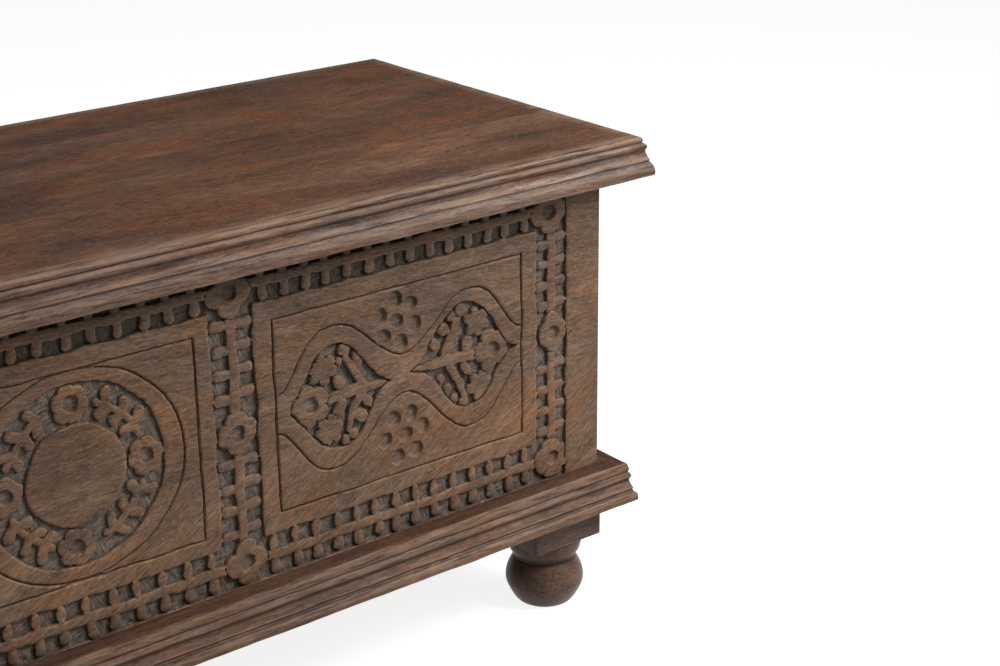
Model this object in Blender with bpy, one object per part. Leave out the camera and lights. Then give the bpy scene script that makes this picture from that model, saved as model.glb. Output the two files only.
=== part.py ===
"""Carved wooden storage chest: hinged moulded lid, moulded plinth, four turned feet. Metres, +Z up."""
import math

import bmesh
import bpy
from mathutils import Matrix, Vector

for old in list(bpy.data.objects):
    bpy.data.objects.remove(old, do_unlink=True)

# Overall sizes of the body, measured over the front, back and end panels
BODY_L = 1.031
BODY_D = 0.350
FRONT_H = 0.275
PANEL_T = 0.022
EASE = 0.0006
GAP = 0.0003
OVER = 0.005

# Feet, square block above a turned bun
FOOT_SQ = 0.0764
FOOT_OUT = 0.0022
FOOT_BLOCK_H = 0.0355
FOOT_TURN_H = 0.069
FOOT_NECK_R = 0.0282
FOOT_BUN_R = 0.0361
FOOT_PAD_R = 0.0195
FOOT_COVE_H = 0.0165
FOOT_SHOULDER = 0.004
FOOT_EASE = 0.0008
FOOT_STEPS = 16

# Plinth moulding, overhang grows towards the floor
PLINTH_H = 0.0372
PLINTH_TOP_OUT = 0.0165
PLINTH_OUT = 0.0275

# Lid, moulded boards above a rim strip
RIM_T = 0.0132
BOARD_T = 0.0216
LID_TOP_OUT = 0.0225
LID_BOARD_OUT = 0.0312
LID_OUT = 0.0345
RIM_IN = 0.030
LID_PLANKS = 4
LID_FRONT_W = 0.129
BATTEN_W = 0.040
BATTEN_PITCH = 0.300

# Bottom of the box
CLEAT = 0.018
BOTTOM_T = 0.010
BOTTOM_BOARDS = 3
CORNER_SQ = 0.046
BOLT_R = 0.004
BOLT_L = 0.048
BOLT_FIT = 0.0002

# Hinges on the outside of the back
HINGE_X = 0.320
HINGE_L = 0.060
HINGE_OFF = 0.0040
KNUCKLE_R = 0.0035
PIN_R = 0.0015
PIN_FIT = 0.0002
LEAF_T = 0.0015
LEAF_W = 0.022

# Carved front: channels, panels and lines
RELIEF = 0.0042
MARGIN_W = 0.0371
BORDER_W = 0.0347
DIVIDER_W = 0.0396
CHANNEL_H = 0.0378
CENTRE_W = 0.2382
FRAME_SIDE = 0.0165
FRAME_CENTRE = 0.0143
LINE_W = 0.0014
LINE_D = 0.0012

# Ladder of slats and flowers that runs in the channels
RAIL_HALF = 0.0050
SLAT_PITCH = 0.0215
SLAT_BASE = 0.0033
SLAT_TIP = 0.0044
SLAT_GAP = 0.0014
HAND = 0.0003
FLOWER_END_R = 0.0182
FLOWER_MID_R = 0.0166
FLOWER_GAP = 0.0006
FLOWER_HOLE_R = 0.0063
PETALS = 6
NOTCH = 0.20

# Medallion of the centre panel: clearances from the incised frame inwards
MEDAL_GAP_X = 0.0126
MEDAL_GAP_Z = 0.0010
MEDAL_BAND_X = 0.0165
MEDAL_BAND_Z = 0.0087
RING_W = 0.0329
RING_FLOWER_GAP = 0.0014
SPRAY_STEM = 0.0018
SPRAY_GAP = 0.0051

# Ribbon, teardrops and dimples of a side panel
RIBBON_WAIST = 0.0218
RIBBON_END = 0.0174
RIBBON_GAP = 0.0178
RIBBON_W = 0.0176
RIBBON_SHIFT = 0.0028
TEAR_TIP = 0.0135
TEAR_GAP = 0.0037
DIMPLE_EDGE = 0.0057
DIMPLE_SIDE = 0.0107
DIMPLE_WALL = 0.0069
DIMPLE_D = 0.0022

# Levels and faces that follow from the sizes above
Z_BLOCK = FOOT_TURN_H
Z_BASE = Z_BLOCK + FOOT_BLOCK_H
Z_BODY = Z_BASE + GAP
Z_LEDGE = Z_BODY + PLINTH_H
Z_TOP = Z_LEDGE + FRONT_H
Z_LID = Z_TOP + GAP
Z_RIM = Z_LID + RIM_T
Z_BOARD = Z_RIM + GAP
Z_ROOF = Z_BOARD + BOARD_T
HALF_L = BODY_L / 2
HALF_D = BODY_D / 2
FRONT_Y = -HALF_D
CARVED_X = HALF_L - MARGIN_W
AXIS_Y = HALF_D + HINGE_OFF
AXIS_Z = Z_LID - HINGE_OFF

scene = bpy.context.scene


def material(name, colour, roughness, metallic=0.0):
    made = bpy.data.materials.new(name)
    made.use_nodes = True
    shader = made.node_tree.nodes["Principled BSDF"]
    shader.inputs["Base Color"].default_value = (*colour, 1.0)
    shader.inputs["Roughness"].default_value = roughness
    shader.inputs["Metallic"].default_value = metallic
    return made


WOOD_LID = material("wood_lid", (0.150, 0.088, 0.060), 0.42)
WOOD_CARVED = material("wood_carved", (0.130, 0.076, 0.050), 0.55)
WOOD_FRAME = material("wood_frame", (0.140, 0.082, 0.056), 0.52)
WOOD_PLINTH = material("wood_plinth", (0.112, 0.062, 0.043), 0.50)
WOOD_FOOT = material("wood_foot", (0.070, 0.042, 0.032), 0.45)
WOOD_INSIDE = material("wood_inside", (0.250, 0.170, 0.110), 0.70)
STEEL_HINGE = material("steel_hinge", (0.42, 0.38, 0.30), 0.40, 1.0)
STEEL_BOLT = material("steel_bolt", (0.52, 0.52, 0.54), 0.38, 1.0)


def add(name, bm, skin, smooth=None):
    """Turns a bmesh into a named object; faces meeting below the smooth angle are shaded smooth."""
    bmesh.ops.remove_doubles(bm, verts=bm.verts, dist=1e-6)
    bmesh.ops.recalc_face_normals(bm, faces=bm.faces)
    mesh = bpy.data.meshes.new(name)
    bm.to_mesh(mesh)
    bm.free()
    made = bpy.data.objects.new(name, mesh)
    scene.collection.objects.link(made)
    if skin is not None:
        mesh.materials.append(skin)
    if smooth is not None:
        mesh.shade_smooth()
        mesh.set_sharp_from_angle(angle=math.radians(smooth))
    return made


def box_bm(lo, hi):
    bm = bmesh.new()
    size = Vector(hi) - Vector(lo)
    middle = (Vector(hi) + Vector(lo)) / 2
    bmesh.ops.create_cube(bm, size=1.0, matrix=Matrix.Translation(middle) @ Matrix.Diagonal((*size, 1.0)))
    return bm


def box(name, lo, hi, skin, ease=0.0):
    """A board; ease is the width of the chamfer on its edges."""
    bm = box_bm(lo, hi)
    if ease > 0:
        bmesh.ops.bevel(bm, geom=list(bm.edges), offset=ease, segments=1, affect="EDGES")
    return add(name, bm, skin)


def turned(profile, centre, steps):
    """A solid of revolution about Z from (radius, height) points that start and end on the axis."""
    bm = bmesh.new()
    verts = [bm.verts.new((centre[0] + r, centre[1], centre[2] + z)) for r, z in profile]
    edges = [bm.edges.new(pair) for pair in zip(verts, verts[1:])]
    bmesh.ops.spin(bm, geom=verts + edges, cent=centre, axis=(0, 0, 1), angle=2 * math.pi, steps=steps,
                   use_merge=True)
    bmesh.ops.remove_doubles(bm, verts=bm.verts, dist=1e-6)
    return bm


def rod(radius, low, high, centre, steps):
    return turned([(0, high), (radius, high), (radius, low), (0, low)], (*centre, 0.0), steps)


def join(parts):
    whole = bmesh.new()
    for part in parts:
        bmesh.ops.remove_doubles(part, verts=part.verts, dist=1e-6)
        bmesh.ops.recalc_face_normals(part, faces=part.faces)
        mesh = bpy.data.meshes.new("joined")
        part.to_mesh(mesh)
        part.free()
        whole.from_mesh(mesh)
        bpy.data.meshes.remove(mesh)
    return whole


def combine(target, tools, operation, smooth=None):
    """Unites the target with one set of solids or cuts the set out of it."""
    tool = add(target.name + "_tool", tools, None)
    tool.hide_render = True
    tool.display_type = "WIRE"
    step = target.modifiers.new("combine", "BOOLEAN")
    step.operation = operation
    step.solver = "EXACT"
    step.object = tool
    graph = bpy.context.evaluated_depsgraph_get()
    result = bpy.data.meshes.new_from_object(target.evaluated_get(graph), depsgraph=graph)
    target.modifiers.clear()
    old_mesh = target.data
    target.data = result
    result.name = target.name
    bpy.data.meshes.remove(old_mesh)
    bpy.data.objects.remove(tool, do_unlink=True)
    bm = bmesh.new()
    bm.from_mesh(result)
    bmesh.ops.remove_doubles(bm, verts=bm.verts, dist=1e-6)
    bmesh.ops.dissolve_degenerate(bm, dist=1e-6, edges=bm.edges)
    bm.to_mesh(result)
    bm.free()
    if smooth is not None:
        result.shade_smooth()
        result.set_sharp_from_angle(angle=math.radians(smooth))
    return target


def arc(centre, radius, start, end, count):
    """Points on an arc in degrees, ends included."""
    angles = [math.radians(start + (end - start) * k / count) for k in range(count + 1)]
    return [(centre[0] + radius * math.cos(a), centre[1] + radius * math.sin(a)) for a in angles]


def strip(name, side, profile, skin):
    """A moulding with mitred ends; profile points are (overhang from the body face, height)."""
    bm = bmesh.new()
    half_run = HALF_L if side in ("front", "back") else HALF_D
    half_across = HALF_D if side in ("front", "back") else HALF_L
    turn = {"front": 0, "right": 1, "back": 2, "left": 3}[side]
    spin = Matrix.Rotation(turn * math.pi / 2, 4, "Z")
    ends = []
    for sign in (-1, 1):
        ring = []
        for out, height in profile:
            run = sign * (half_run + out - GAP)
            ring.append(bm.verts.new(spin @ Vector((run, -(half_across + out), height))))
        ends.append(ring)
    count = len(profile)
    for k in range(count):
        n = (k + 1) % count
        bm.faces.new((ends[0][k], ends[0][n], ends[1][n], ends[1][k]))
    bm.faces.new(ends[0])
    bm.faces.new(list(reversed(ends[1])))
    return add(name, bm, skin, 35)


SIDES = ("front", "right", "back", "left")
CORNERS = {"front_left": (-1, -1), "front_right": (1, -1), "back_left": (-1, 1), "back_right": (1, 1)}

# Plain back, over the full length, and end panels between front and back
box("back_panel", (-HALF_L, HALF_D - PANEL_T, Z_BODY), (HALF_L, HALF_D, Z_TOP), WOOD_FRAME, EASE)
END_Y = HALF_D - PANEL_T - GAP
for side, sx in (("left", -1), ("right", 1)):
    xs = sorted((sx * HALF_L, sx * (HALF_L - PANEL_T)))
    box("end_panel_" + side, (xs[0], -END_Y, Z_BODY), (xs[1], END_Y, Z_TOP), WOOD_FRAME, EASE)

# Corner blocks, cleats and bottom boards inside the box
IN_X = HALF_L - PANEL_T - GAP
IN_Y = HALF_D - PANEL_T - GAP
Z_CLEAT = Z_BODY + CLEAT
FOOT_X = HALF_L + FOOT_OUT - FOOT_SQ / 2
FOOT_Y = HALF_D + FOOT_OUT - FOOT_SQ / 2
for corner, (sx, sy) in CORNERS.items():
    xs = sorted((sx * IN_X, sx * (IN_X - CORNER_SQ)))
    ys = sorted((sy * IN_Y, sy * (IN_Y - CORNER_SQ)))
    block = box("corner_block_" + corner, (xs[0], ys[0], Z_BODY), (xs[1], ys[1], Z_CLEAT), WOOD_INSIDE)
    bore = rod(BOLT_R + BOLT_FIT, Z_BODY - OVER, Z_CLEAT + OVER, (sx * FOOT_X, sy * FOOT_Y), 12)
    combine(block, bore, "DIFFERENCE")
RUN_X = IN_X - CORNER_SQ - GAP
RUN_Y = IN_Y - CORNER_SQ - GAP
box("cleat_front", (-RUN_X, -IN_Y, Z_BODY), (RUN_X, -IN_Y + CLEAT, Z_CLEAT), WOOD_INSIDE)
box("cleat_back", (-RUN_X, IN_Y - CLEAT, Z_BODY), (RUN_X, IN_Y, Z_CLEAT), WOOD_INSIDE)
box("cleat_left", (-IN_X, -RUN_Y, Z_BODY), (-IN_X + CLEAT, RUN_Y, Z_CLEAT), WOOD_INSIDE)
box("cleat_right", (IN_X - CLEAT, -RUN_Y, Z_BODY), (IN_X, RUN_Y, Z_CLEAT), WOOD_INSIDE)
BOARD_W = (2 * IN_Y - (BOTTOM_BOARDS - 1) * GAP) / BOTTOM_BOARDS
for k in range(BOTTOM_BOARDS):
    low = -IN_Y + k * (BOARD_W + GAP)
    box(f"bottom_board_{k + 1}", (-IN_X, low, Z_CLEAT + GAP), (IN_X, low + BOARD_W, Z_CLEAT + GAP + BOTTOM_T),
        WOOD_INSIDE)

# Feet and the bolts that hold them to the corner blocks
BUN_H = FOOT_TURN_H - FOOT_COVE_H
BUN_MID = 0.5 * BUN_H
COVE_TOP_R = FOOT_SQ / 2 - FOOT_SHOULDER


def foot_profile():
    points = [(0, Z_BLOCK + OVER), (COVE_TOP_R, Z_BLOCK + OVER), (COVE_TOP_R, Z_BLOCK)]
    for k in range(1, 4):
        a = math.radians(30 * k)
        points.append((COVE_TOP_R - (COVE_TOP_R - FOOT_NECK_R) * math.sin(a),
                       Z_BLOCK - FOOT_COVE_H * (1 - math.cos(a))))
    for k in range(1, 5):
        a = math.radians(22.5 * k)
        points.append((FOOT_NECK_R + (FOOT_BUN_R - FOOT_NECK_R) * math.sin(a),
                       BUN_MID + (BUN_H - BUN_MID) * math.cos(a)))
    for k in range(1, 5):
        a = math.radians(22.5 * k)
        points.append((FOOT_PAD_R + (FOOT_BUN_R - FOOT_PAD_R) * math.cos(a), BUN_MID * (1 - math.sin(a))))
    points.append((0, 0))
    return points


for corner, (sx, sy) in CORNERS.items():
    spot = (sx * FOOT_X, sy * FOOT_Y)
    half = FOOT_SQ / 2
    foot = box("foot_" + corner, (spot[0] - half, spot[1] - half, Z_BLOCK),
               (spot[0] + half, spot[1] + half, Z_BASE), WOOD_FOOT, FOOT_EASE)
    combine(foot, turned(foot_profile(), (*spot, 0.0), FOOT_STEPS), "UNION")
    bolt_low = Z_CLEAT - BOLT_L
    bore = rod(BOLT_R + BOLT_FIT, bolt_low - BOLT_FIT, Z_BASE + OVER, spot, 12)
    combine(foot, bore, "DIFFERENCE", 40)
    add("foot_bolt_" + corner, rod(BOLT_R, bolt_low, Z_CLEAT - GAP, spot, 12), STEEL_BOLT, 40)

# Plinth moulding round the foot of the body
PLINTH_STEP = 0.42 * PLINTH_H
PLINTH_MID = PLINTH_TOP_OUT + 0.5 * (PLINTH_OUT - PLINTH_TOP_OUT)
plinth = [(GAP, Z_BODY), (GAP, Z_LEDGE), (PLINTH_TOP_OUT, Z_LEDGE)]
plinth += [(PLINTH_TOP_OUT + 0.0028, Z_LEDGE - 0.0022), (PLINTH_MID - 0.0008, Z_LEDGE - 0.0068)]
plinth += [(PLINTH_MID - 0.0016, Z_LEDGE - 0.0082), (PLINTH_MID + 0.0004, Z_LEDGE - 0.0102)]
plinth += [(PLINTH_MID + 0.0004, Z_LEDGE - 0.0132), (PLINTH_MID - 0.0010, Z_LEDGE - PLINTH_STEP)]
plinth += [(PLINTH_MID + 0.0006, Z_LEDGE - 0.55 * PLINTH_H), (PLINTH_OUT - 0.0026, Z_LEDGE - 0.72 * PLINTH_H)]
plinth += [(PLINTH_OUT - 0.0036, Z_LEDGE - 0.755 * PLINTH_H), (PLINTH_OUT - 0.001, Z_LEDGE - 0.81 * PLINTH_H)]
plinth += [(PLINTH_OUT, Z_BODY + 0.0042), (PLINTH_OUT - 0.0004, Z_BODY + 0.0016)]
plinth += [(PLINTH_OUT - 0.0018, Z_BODY)]
for side in SIDES:
    strip("plinth_" + side, side, plinth, WOOD_PLINTH)

# Rim strips under the lid boards
rim = [(-RIM_IN, Z_LID), (-RIM_IN, Z_RIM), (LID_BOARD_OUT + 0.0002, Z_RIM)]
rim += [(LID_OUT - 0.0015, Z_RIM - 0.0020), (LID_OUT - 0.0004, Z_LID + 0.0065), (LID_OUT, Z_LID + 0.0036)]
rim += [(LID_OUT - 0.0006, Z_LID + 0.0014), (LID_OUT - 0.0022, Z_LID)]
lid_parts = [strip("lid_rim_" + side, side, rim, WOOD_LID) for side in SIDES]

# Lid boards, one moulded slab sawn along its length
ROUND = 0.0040
BEAD_R = 0.0023
BEAD_Z = Z_BOARD + 0.58 * BOARD_T
BEAD_OUT = LID_TOP_OUT + ROUND
edge = [(LID_TOP_OUT, Z_ROOF)] + arc((LID_TOP_OUT, Z_ROOF - ROUND), ROUND, 65, 0, 3)
edge += [(BEAD_OUT - 0.0004, BEAD_Z + BEAD_R + 0.0006)]
edge += arc((BEAD_OUT, BEAD_Z), BEAD_R, 80, -80, 4)
for k in range(4):
    t = k / 3
    edge.append((BEAD_OUT + 0.0012 + (LID_BOARD_OUT - BEAD_OUT - 0.0012) * t * t,
                 BEAD_Z - BEAD_R - 0.0012 + (Z_BOARD - BEAD_Z + BEAD_R + 0.0012) * t))


def lid_slab():
    bm = bmesh.new()
    rings = []
    for out, height in edge:
        ring = []
        for sx, sy in ((-1, -1), (1, -1), (1, 1), (-1, 1)):
            ring.append(bm.verts.new((sx * (HALF_L + out), sy * (HALF_D + out), height)))
        rings.append(ring)
    for upper, lower in zip(rings, rings[1:]):
        for k in range(4):
            n = (k + 1) % 4
            bm.faces.new((upper[k], lower[k], lower[n], upper[n]))
    bm.faces.new(rings[0])
    bm.faces.new(list(reversed(rings[-1])))
    return bm


LID_DEPTH = BODY_D + 2 * LID_BOARD_OUT
PLANK_W = (LID_DEPTH - LID_FRONT_W) / (LID_PLANKS - 1)
JOINTS = [LID_FRONT_W - LID_DEPTH / 2 + k * PLANK_W for k in range(LID_PLANKS - 1)]
for k in range(LID_PLANKS):
    slab = lid_slab()
    cuts = []
    if k > 0:
        cuts.append((JOINTS[k - 1] + GAP / 2, -1))
    if k < LID_PLANKS - 1:
        cuts.append((JOINTS[k] - GAP / 2, 1))
    for y, way in cuts:
        everything = list(slab.verts) + list(slab.edges) + list(slab.faces)
        bmesh.ops.bisect_plane(slab, geom=everything, plane_co=(0, y, 0), plane_no=(0, way, 0),
                               clear_outer=True)
        rim_edges = [e for e in slab.edges if e.is_boundary]
        bmesh.ops.edgeloop_fill(slab, edges=rim_edges)
    lid_parts.append(add(f"lid_board_{k + 1}", slab, WOOD_LID, 35))

# Battens across the underside of the lid
BATTEN_Y = HALF_D - RIM_IN - GAP
for name, x in (("left", -BATTEN_PITCH), ("middle", 0.0), ("right", BATTEN_PITCH)):
    lid_parts.append(box("lid_batten_" + name, (x - BATTEN_W / 2, -BATTEN_Y, Z_LID),
                         (x + BATTEN_W / 2, BATTEN_Y, Z_RIM), WOOD_INSIDE, EASE))


def along_x(bm, centre_x):
    """Lays a solid turned about Z on the hinge line, its height running along X."""
    turn = Matrix.Translation((centre_x, AXIS_Y, AXIS_Z)) @ Matrix.Rotation(math.pi / 2, 4, "Y")
    bmesh.ops.transform(bm, matrix=turn, verts=bm.verts)
    return bm


# Hinges: a leaf on the back panel, a leaf under the lid rim, a pin
for side, sx in (("left", -1), ("right", 1)):
    x = sx * HINGE_X
    third = HINGE_L / 3
    low_face = AXIS_Z - LEAF_W
    body_leaf = box("hinge_body_leaf_" + side, (x - HINGE_L / 2, HALF_D + GAP, low_face),
                    (x + HINGE_L / 2, HALF_D + GAP + LEAF_T, AXIS_Z), STEEL_HINGE)
    tooth = box_bm((x - third / 2 - GAP, HALF_D - OVER, AXIS_Z - KNUCKLE_R - GAP),
                   (x + third / 2 + GAP, AXIS_Y + OVER, AXIS_Z + OVER))
    combine(body_leaf, tooth, "DIFFERENCE")
    for start in (-HINGE_L / 2, third / 2 + GAP):
        combine(body_leaf, along_x(rod(KNUCKLE_R, start, start + third - GAP, (0, 0), 12), x), "UNION")
    combine(body_leaf, along_x(rod(PIN_R + PIN_FIT, -HINGE_L, HINGE_L, (0, 0), 10), x), "DIFFERENCE", 40)
    lid_leaf = box("hinge_lid_leaf_" + side, (x - HINGE_L / 2, AXIS_Y, Z_LID - GAP - LEAF_T),
                   (x + HINGE_L / 2, AXIS_Y + LEAF_W, Z_LID - GAP), STEEL_HINGE)
    sides = join([box_bm((x + s * HINGE_L / 2 - third - GAP, AXIS_Y - OVER, Z_LID - OVER),
                         (x + s * HINGE_L / 2 + third + GAP, AXIS_Y + KNUCKLE_R + GAP, Z_LID + OVER))
                  for s in (-1, 1)])
    combine(lid_leaf, sides, "DIFFERENCE")
    combine(lid_leaf, along_x(rod(KNUCKLE_R, -third / 2 + GAP, third / 2 - GAP, (0, 0), 12), x), "UNION")
    combine(lid_leaf, along_x(rod(PIN_R + PIN_FIT, -HINGE_L, HINGE_L, (0, 0), 10), x), "DIFFERENCE", 40)
    lid_parts.append(lid_leaf)
    pin = rod(PIN_R, -HINGE_L / 2 - PIN_FIT, HINGE_L / 2 + PIN_FIT, (0, 0), 10)
    add("hinge_pin_" + side, along_x(pin, x), STEEL_HINGE, 40)

# Everything that swings with the lid hangs on the hinge line
axis = bpy.data.objects.new("lid_hinge_axis", None)
axis.location = (0, AXIS_Y, AXIS_Z)
scene.collection.objects.link(axis)
for part in lid_parts:
    part.parent = axis
    part.matrix_parent_inverse = Matrix.Translation((0, AXIS_Y, AXIS_Z)).inverted()


def outline(loops, depth):
    """A filled outline in the front plane, cut to a depth behind the face and clear of it in front."""
    curve = bpy.data.curves.new("outline", "CURVE")
    curve.dimensions = "2D"
    curve.fill_mode = "BOTH"
    curve.extrude = (depth + OVER) / 2
    for loop in loops:
        spline = curve.splines.new("POLY")
        spline.points.add(len(loop) - 1)
        for point, (x, z) in zip(spline.points, loop):
            point.co = (x, z, 0.0, 1.0)
        spline.use_cyclic_u = True
    holder = bpy.data.objects.new("outline", curve)
    scene.collection.objects.link(holder)
    graph = bpy.context.evaluated_depsgraph_get()
    mesh = bpy.data.meshes.new_from_object(holder.evaluated_get(graph), depsgraph=graph)
    bm = bmesh.new()
    bm.from_mesh(mesh)
    place = Matrix.Translation((0, FRONT_Y + (depth - OVER) / 2, 0)) @ Matrix.Rotation(math.pi / 2, 4, "X")
    bmesh.ops.transform(bm, matrix=place, verts=bm.verts)
    bmesh.ops.remove_doubles(bm, verts=bm.verts, dist=1e-6)
    bpy.data.objects.remove(holder, do_unlink=True)
    bpy.data.meshes.remove(mesh)
    bpy.data.curves.remove(curve)
    return bm


def rectangle(x0, z0, x1, z1):
    return [(x0, z0), (x1, z0), (x1, z1), (x0, z1)]


def ellipse(x, z, rx, rz, count, phase=0.0):
    angles = [phase + 2 * math.pi * k / count for k in range(count)]
    return [(x + rx * math.cos(a), z + rz * math.sin(a)) for a in angles]


def petal_radius(angle, radius, petals=PETALS):
    return radius * (1 - NOTCH + NOTCH * abs(math.cos(petals * angle / 2)))


def flower(x, z, radius, petals=PETALS, phase=0.0, per_petal=4):
    points = []
    for k in range(petals * per_petal):
        a = 2 * math.pi * k / (petals * per_petal)
        r = petal_radius(a, radius, petals)
        points.append((x + r * math.cos(a + phase), z + r * math.sin(a + phase)))
    return points


def leaf(x, z, length, width, angle):
    shape = ((-0.5, 0.0), (-0.2, -0.4), (0.2, -0.42), (0.5, 0.0), (0.2, 0.42), (-0.2, 0.4))
    ca = math.cos(angle)
    sa = math.sin(angle)
    return [(x + u * length * ca - v * width * sa, z + u * length * sa + v * width * ca) for u, v in shape]


def ladder(stations):
    """One side of the slatted border, walked from flower to flower with the side to the left.

    A station is (x, z, flower radius, width of the channel to the next station).
    """
    loop = []
    count = len(stations)
    for k in range(count):
        before = Vector(stations[k - 1][:2])
        here = Vector(stations[k][:2])
        after = Vector(stations[(k + 1) % count][:2])
        radius = stations[k][2]
        came = (here - before).normalized()
        goes = (after - here).normalized()
        lean = math.asin(RAIL_HALF / radius)
        start = math.atan2(-came.y, -came.x) - lean
        end = math.atan2(goes.y, goes.x) + lean
        while end > start:
            end -= 2 * math.pi
        while start - end > 2 * math.pi:
            end += 2 * math.pi
        step = math.pi / (2 * PETALS)
        first = math.floor(start / step - 0.3)
        last = math.ceil(end / step + 0.3)
        for a in [start] + [j * step for j in range(first, last - 1, -1)] + [end]:
            r = petal_radius(a, radius)
            loop.append((here.x + r * math.cos(a), here.y + r * math.sin(a)))
        left = Vector((-goes.y, goes.x))
        next_radius = stations[(k + 1) % count][2]
        free = (after - here).length - radius - next_radius
        slats = max(1, round(free / SLAT_PITCH))
        reach = stations[k][3] / 2 - SLAT_GAP
        for j in range(slats):
            at = radius + free * (j + 0.5) / slats
            corners = ((-SLAT_BASE, RAIL_HALF), (-SLAT_TIP, reach), (SLAT_TIP, reach), (SLAT_BASE, RAIL_HALF))
            for along, out in corners:
                uneven = HAND * math.sin(12.9 * len(loop) + 4.1 * k)
                spot = here + goes * (at + along) + left * (out + uneven)
                loop.append((spot.x, spot.y))
    return loop


# Layout of the carved front
Z_LOW = Z_LEDGE + CHANNEL_H / 2
Z_HIGH = Z_TOP - CHANNEL_H / 2
Z_MID = (Z_LEDGE + Z_TOP) / 2
RAIL_END = CARVED_X - BORDER_W / 2
RAIL_MID = (CENTRE_W + DIVIDER_W) / 2
RAILS = ((-RAIL_END, BORDER_W), (-RAIL_MID, DIVIDER_W), (RAIL_MID, DIVIDER_W), (RAIL_END, BORDER_W))
PANEL_Z0 = Z_LEDGE + CHANNEL_H
PANEL_Z1 = Z_TOP - CHANNEL_H
SIDE_IN = CENTRE_W / 2 + DIVIDER_W
SIDE_OUT = CARVED_X - BORDER_W
PANELS = ((-SIDE_OUT, -SIDE_IN), (-CENTRE_W / 2, CENTRE_W / 2), (SIDE_IN, SIDE_OUT))
HALF_H = (PANEL_Z1 - PANEL_Z0) / 2
MEDAL_RX = CENTRE_W / 2 - FRAME_CENTRE - LINE_W - MEDAL_GAP_X
MEDAL_RZ = HALF_H - FRAME_CENTRE - LINE_W - MEDAL_GAP_Z
RING_R = min(MEDAL_RX - MEDAL_BAND_X, MEDAL_RZ - MEDAL_BAND_Z)
DISC_R = RING_R - RING_W
FIELD_X = (SIDE_OUT - SIDE_IN) / 2 - FRAME_SIDE - LINE_W
FIELD_Z = HALF_H - FRAME_SIDE - LINE_W
RIBBON_PEAK = FIELD_Z - RIBBON_GAP
TEAR_A = (FIELD_X - TEAR_GAP - TEAR_TIP) / 2
TEAR_B = RIBBON_PEAK - RIBBON_W
TEAR_X = TEAR_TIP + TEAR_A
RIBBON_PEAK_X = TEAR_X + RIBBON_SHIFT
RIBBON_STOP = FIELD_X - LINE_W / 2
DIMPLE_Z = (FIELD_Z + RIBBON_WAIST) / 2
DIMPLE_GROUP = min((FIELD_Z - RIBBON_WAIST) / 2 - DIMPLE_EDGE, RIBBON_PEAK_X / 2 - DIMPLE_SIDE)
DIMPLE_R = (DIMPLE_GROUP - DIMPLE_WALL) / 3
DIMPLE_RING = 2 * DIMPLE_R + DIMPLE_WALL


def station(x, z, width, onward):
    """A flower of the ladder, kept inside the channel it stands in; onward is the next channel's width."""
    largest = FLOWER_MID_R if z == Z_MID else FLOWER_END_R
    return (x, z, min(largest, width / 2 - FLOWER_GAP, CHANNEL_H / 2 - FLOWER_GAP), onward)


pockets = []
for k in range(3):
    (xa, wa), (xb, wb) = RAILS[k], RAILS[k + 1]
    way = [station(xa, Z_LOW, wa, CHANNEL_H), station(xb, Z_LOW, wb, wb), station(xb, Z_MID, wb, wb),
           station(xb, Z_HIGH, wb, CHANNEL_H), station(xa, Z_HIGH, wa, wa), station(xa, Z_MID, wa, wa)]
    panel = rectangle(PANELS[k][0], PANEL_Z0, PANELS[k][1], PANEL_Z1)
    pockets.append(outline([ladder(way), panel], RELIEF))
way = [station(x, Z_LOW, width, CHANNEL_H if x > -RAIL_END else width) for x, width in reversed(RAILS)]
way.append(station(-RAIL_END, Z_MID, BORDER_W, BORDER_W))
way += [station(x, Z_HIGH, width, CHANNEL_H if x < RAIL_END else width) for x, width in RAILS]
way.append(station(RAIL_END, Z_MID, BORDER_W, BORDER_W))
around = rectangle(-CARVED_X, Z_LEDGE - EASE, CARVED_X, Z_TOP + OVER)
pockets.append(outline([around, ladder(way)], RELIEF))
for x, _ in RAILS:
    for z in (Z_LOW, Z_MID, Z_HIGH):
        pockets.append(outline([ellipse(x, z, FLOWER_HOLE_R, FLOWER_HOLE_R, 8)], RELIEF * 0.8))

# Medallion: a sunk ring with four flowers and four lobed sprays, round a plain disc
RING_MID = (RING_R + DISC_R) / 2
RING_FLOWER_R = RING_W / 2 - RING_FLOWER_GAP
SPRAY_LOBE = RING_W / 2 - SPRAY_GAP - SPRAY_STEM
ring = [ellipse(0, Z_MID, RING_R, RING_R, 36), ellipse(0, Z_MID, DISC_R, DISC_R, 28)]
for k in range(4):
    a = k * math.pi / 2
    x = RING_MID * math.cos(a)
    z = Z_MID + RING_MID * math.sin(a)
    ring.append(flower(x, z, RING_FLOWER_R, 5, a, 4))
    pockets.append(outline([ellipse(x, z, 0.4 * RING_FLOWER_R, 0.4 * RING_FLOWER_R, 8)], RELIEF * 0.8))
    spray_from = a + 1.35 * RING_FLOWER_R / RING_MID
    spray_to = a + math.pi / 2 - 1.35 * RING_FLOWER_R / RING_MID
    outer = []
    inner = []
    for j in range(13):
        t = j / 12
        b = spray_from + (spray_to - spray_from) * t
        swell = SPRAY_STEM + SPRAY_LOBE * math.sin(math.pi * t) ** 0.5 * abs(math.sin(3 * math.pi * t))
        outer.append(((RING_MID + swell) * math.cos(b), Z_MID + (RING_MID + swell) * math.sin(b)))
        inner.append(((RING_MID - swell) * math.cos(b), Z_MID + (RING_MID - swell) * math.sin(b)))
    ring.append(outer + inner[::-1])
pockets.append(outline(ring, RELIEF))


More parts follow.
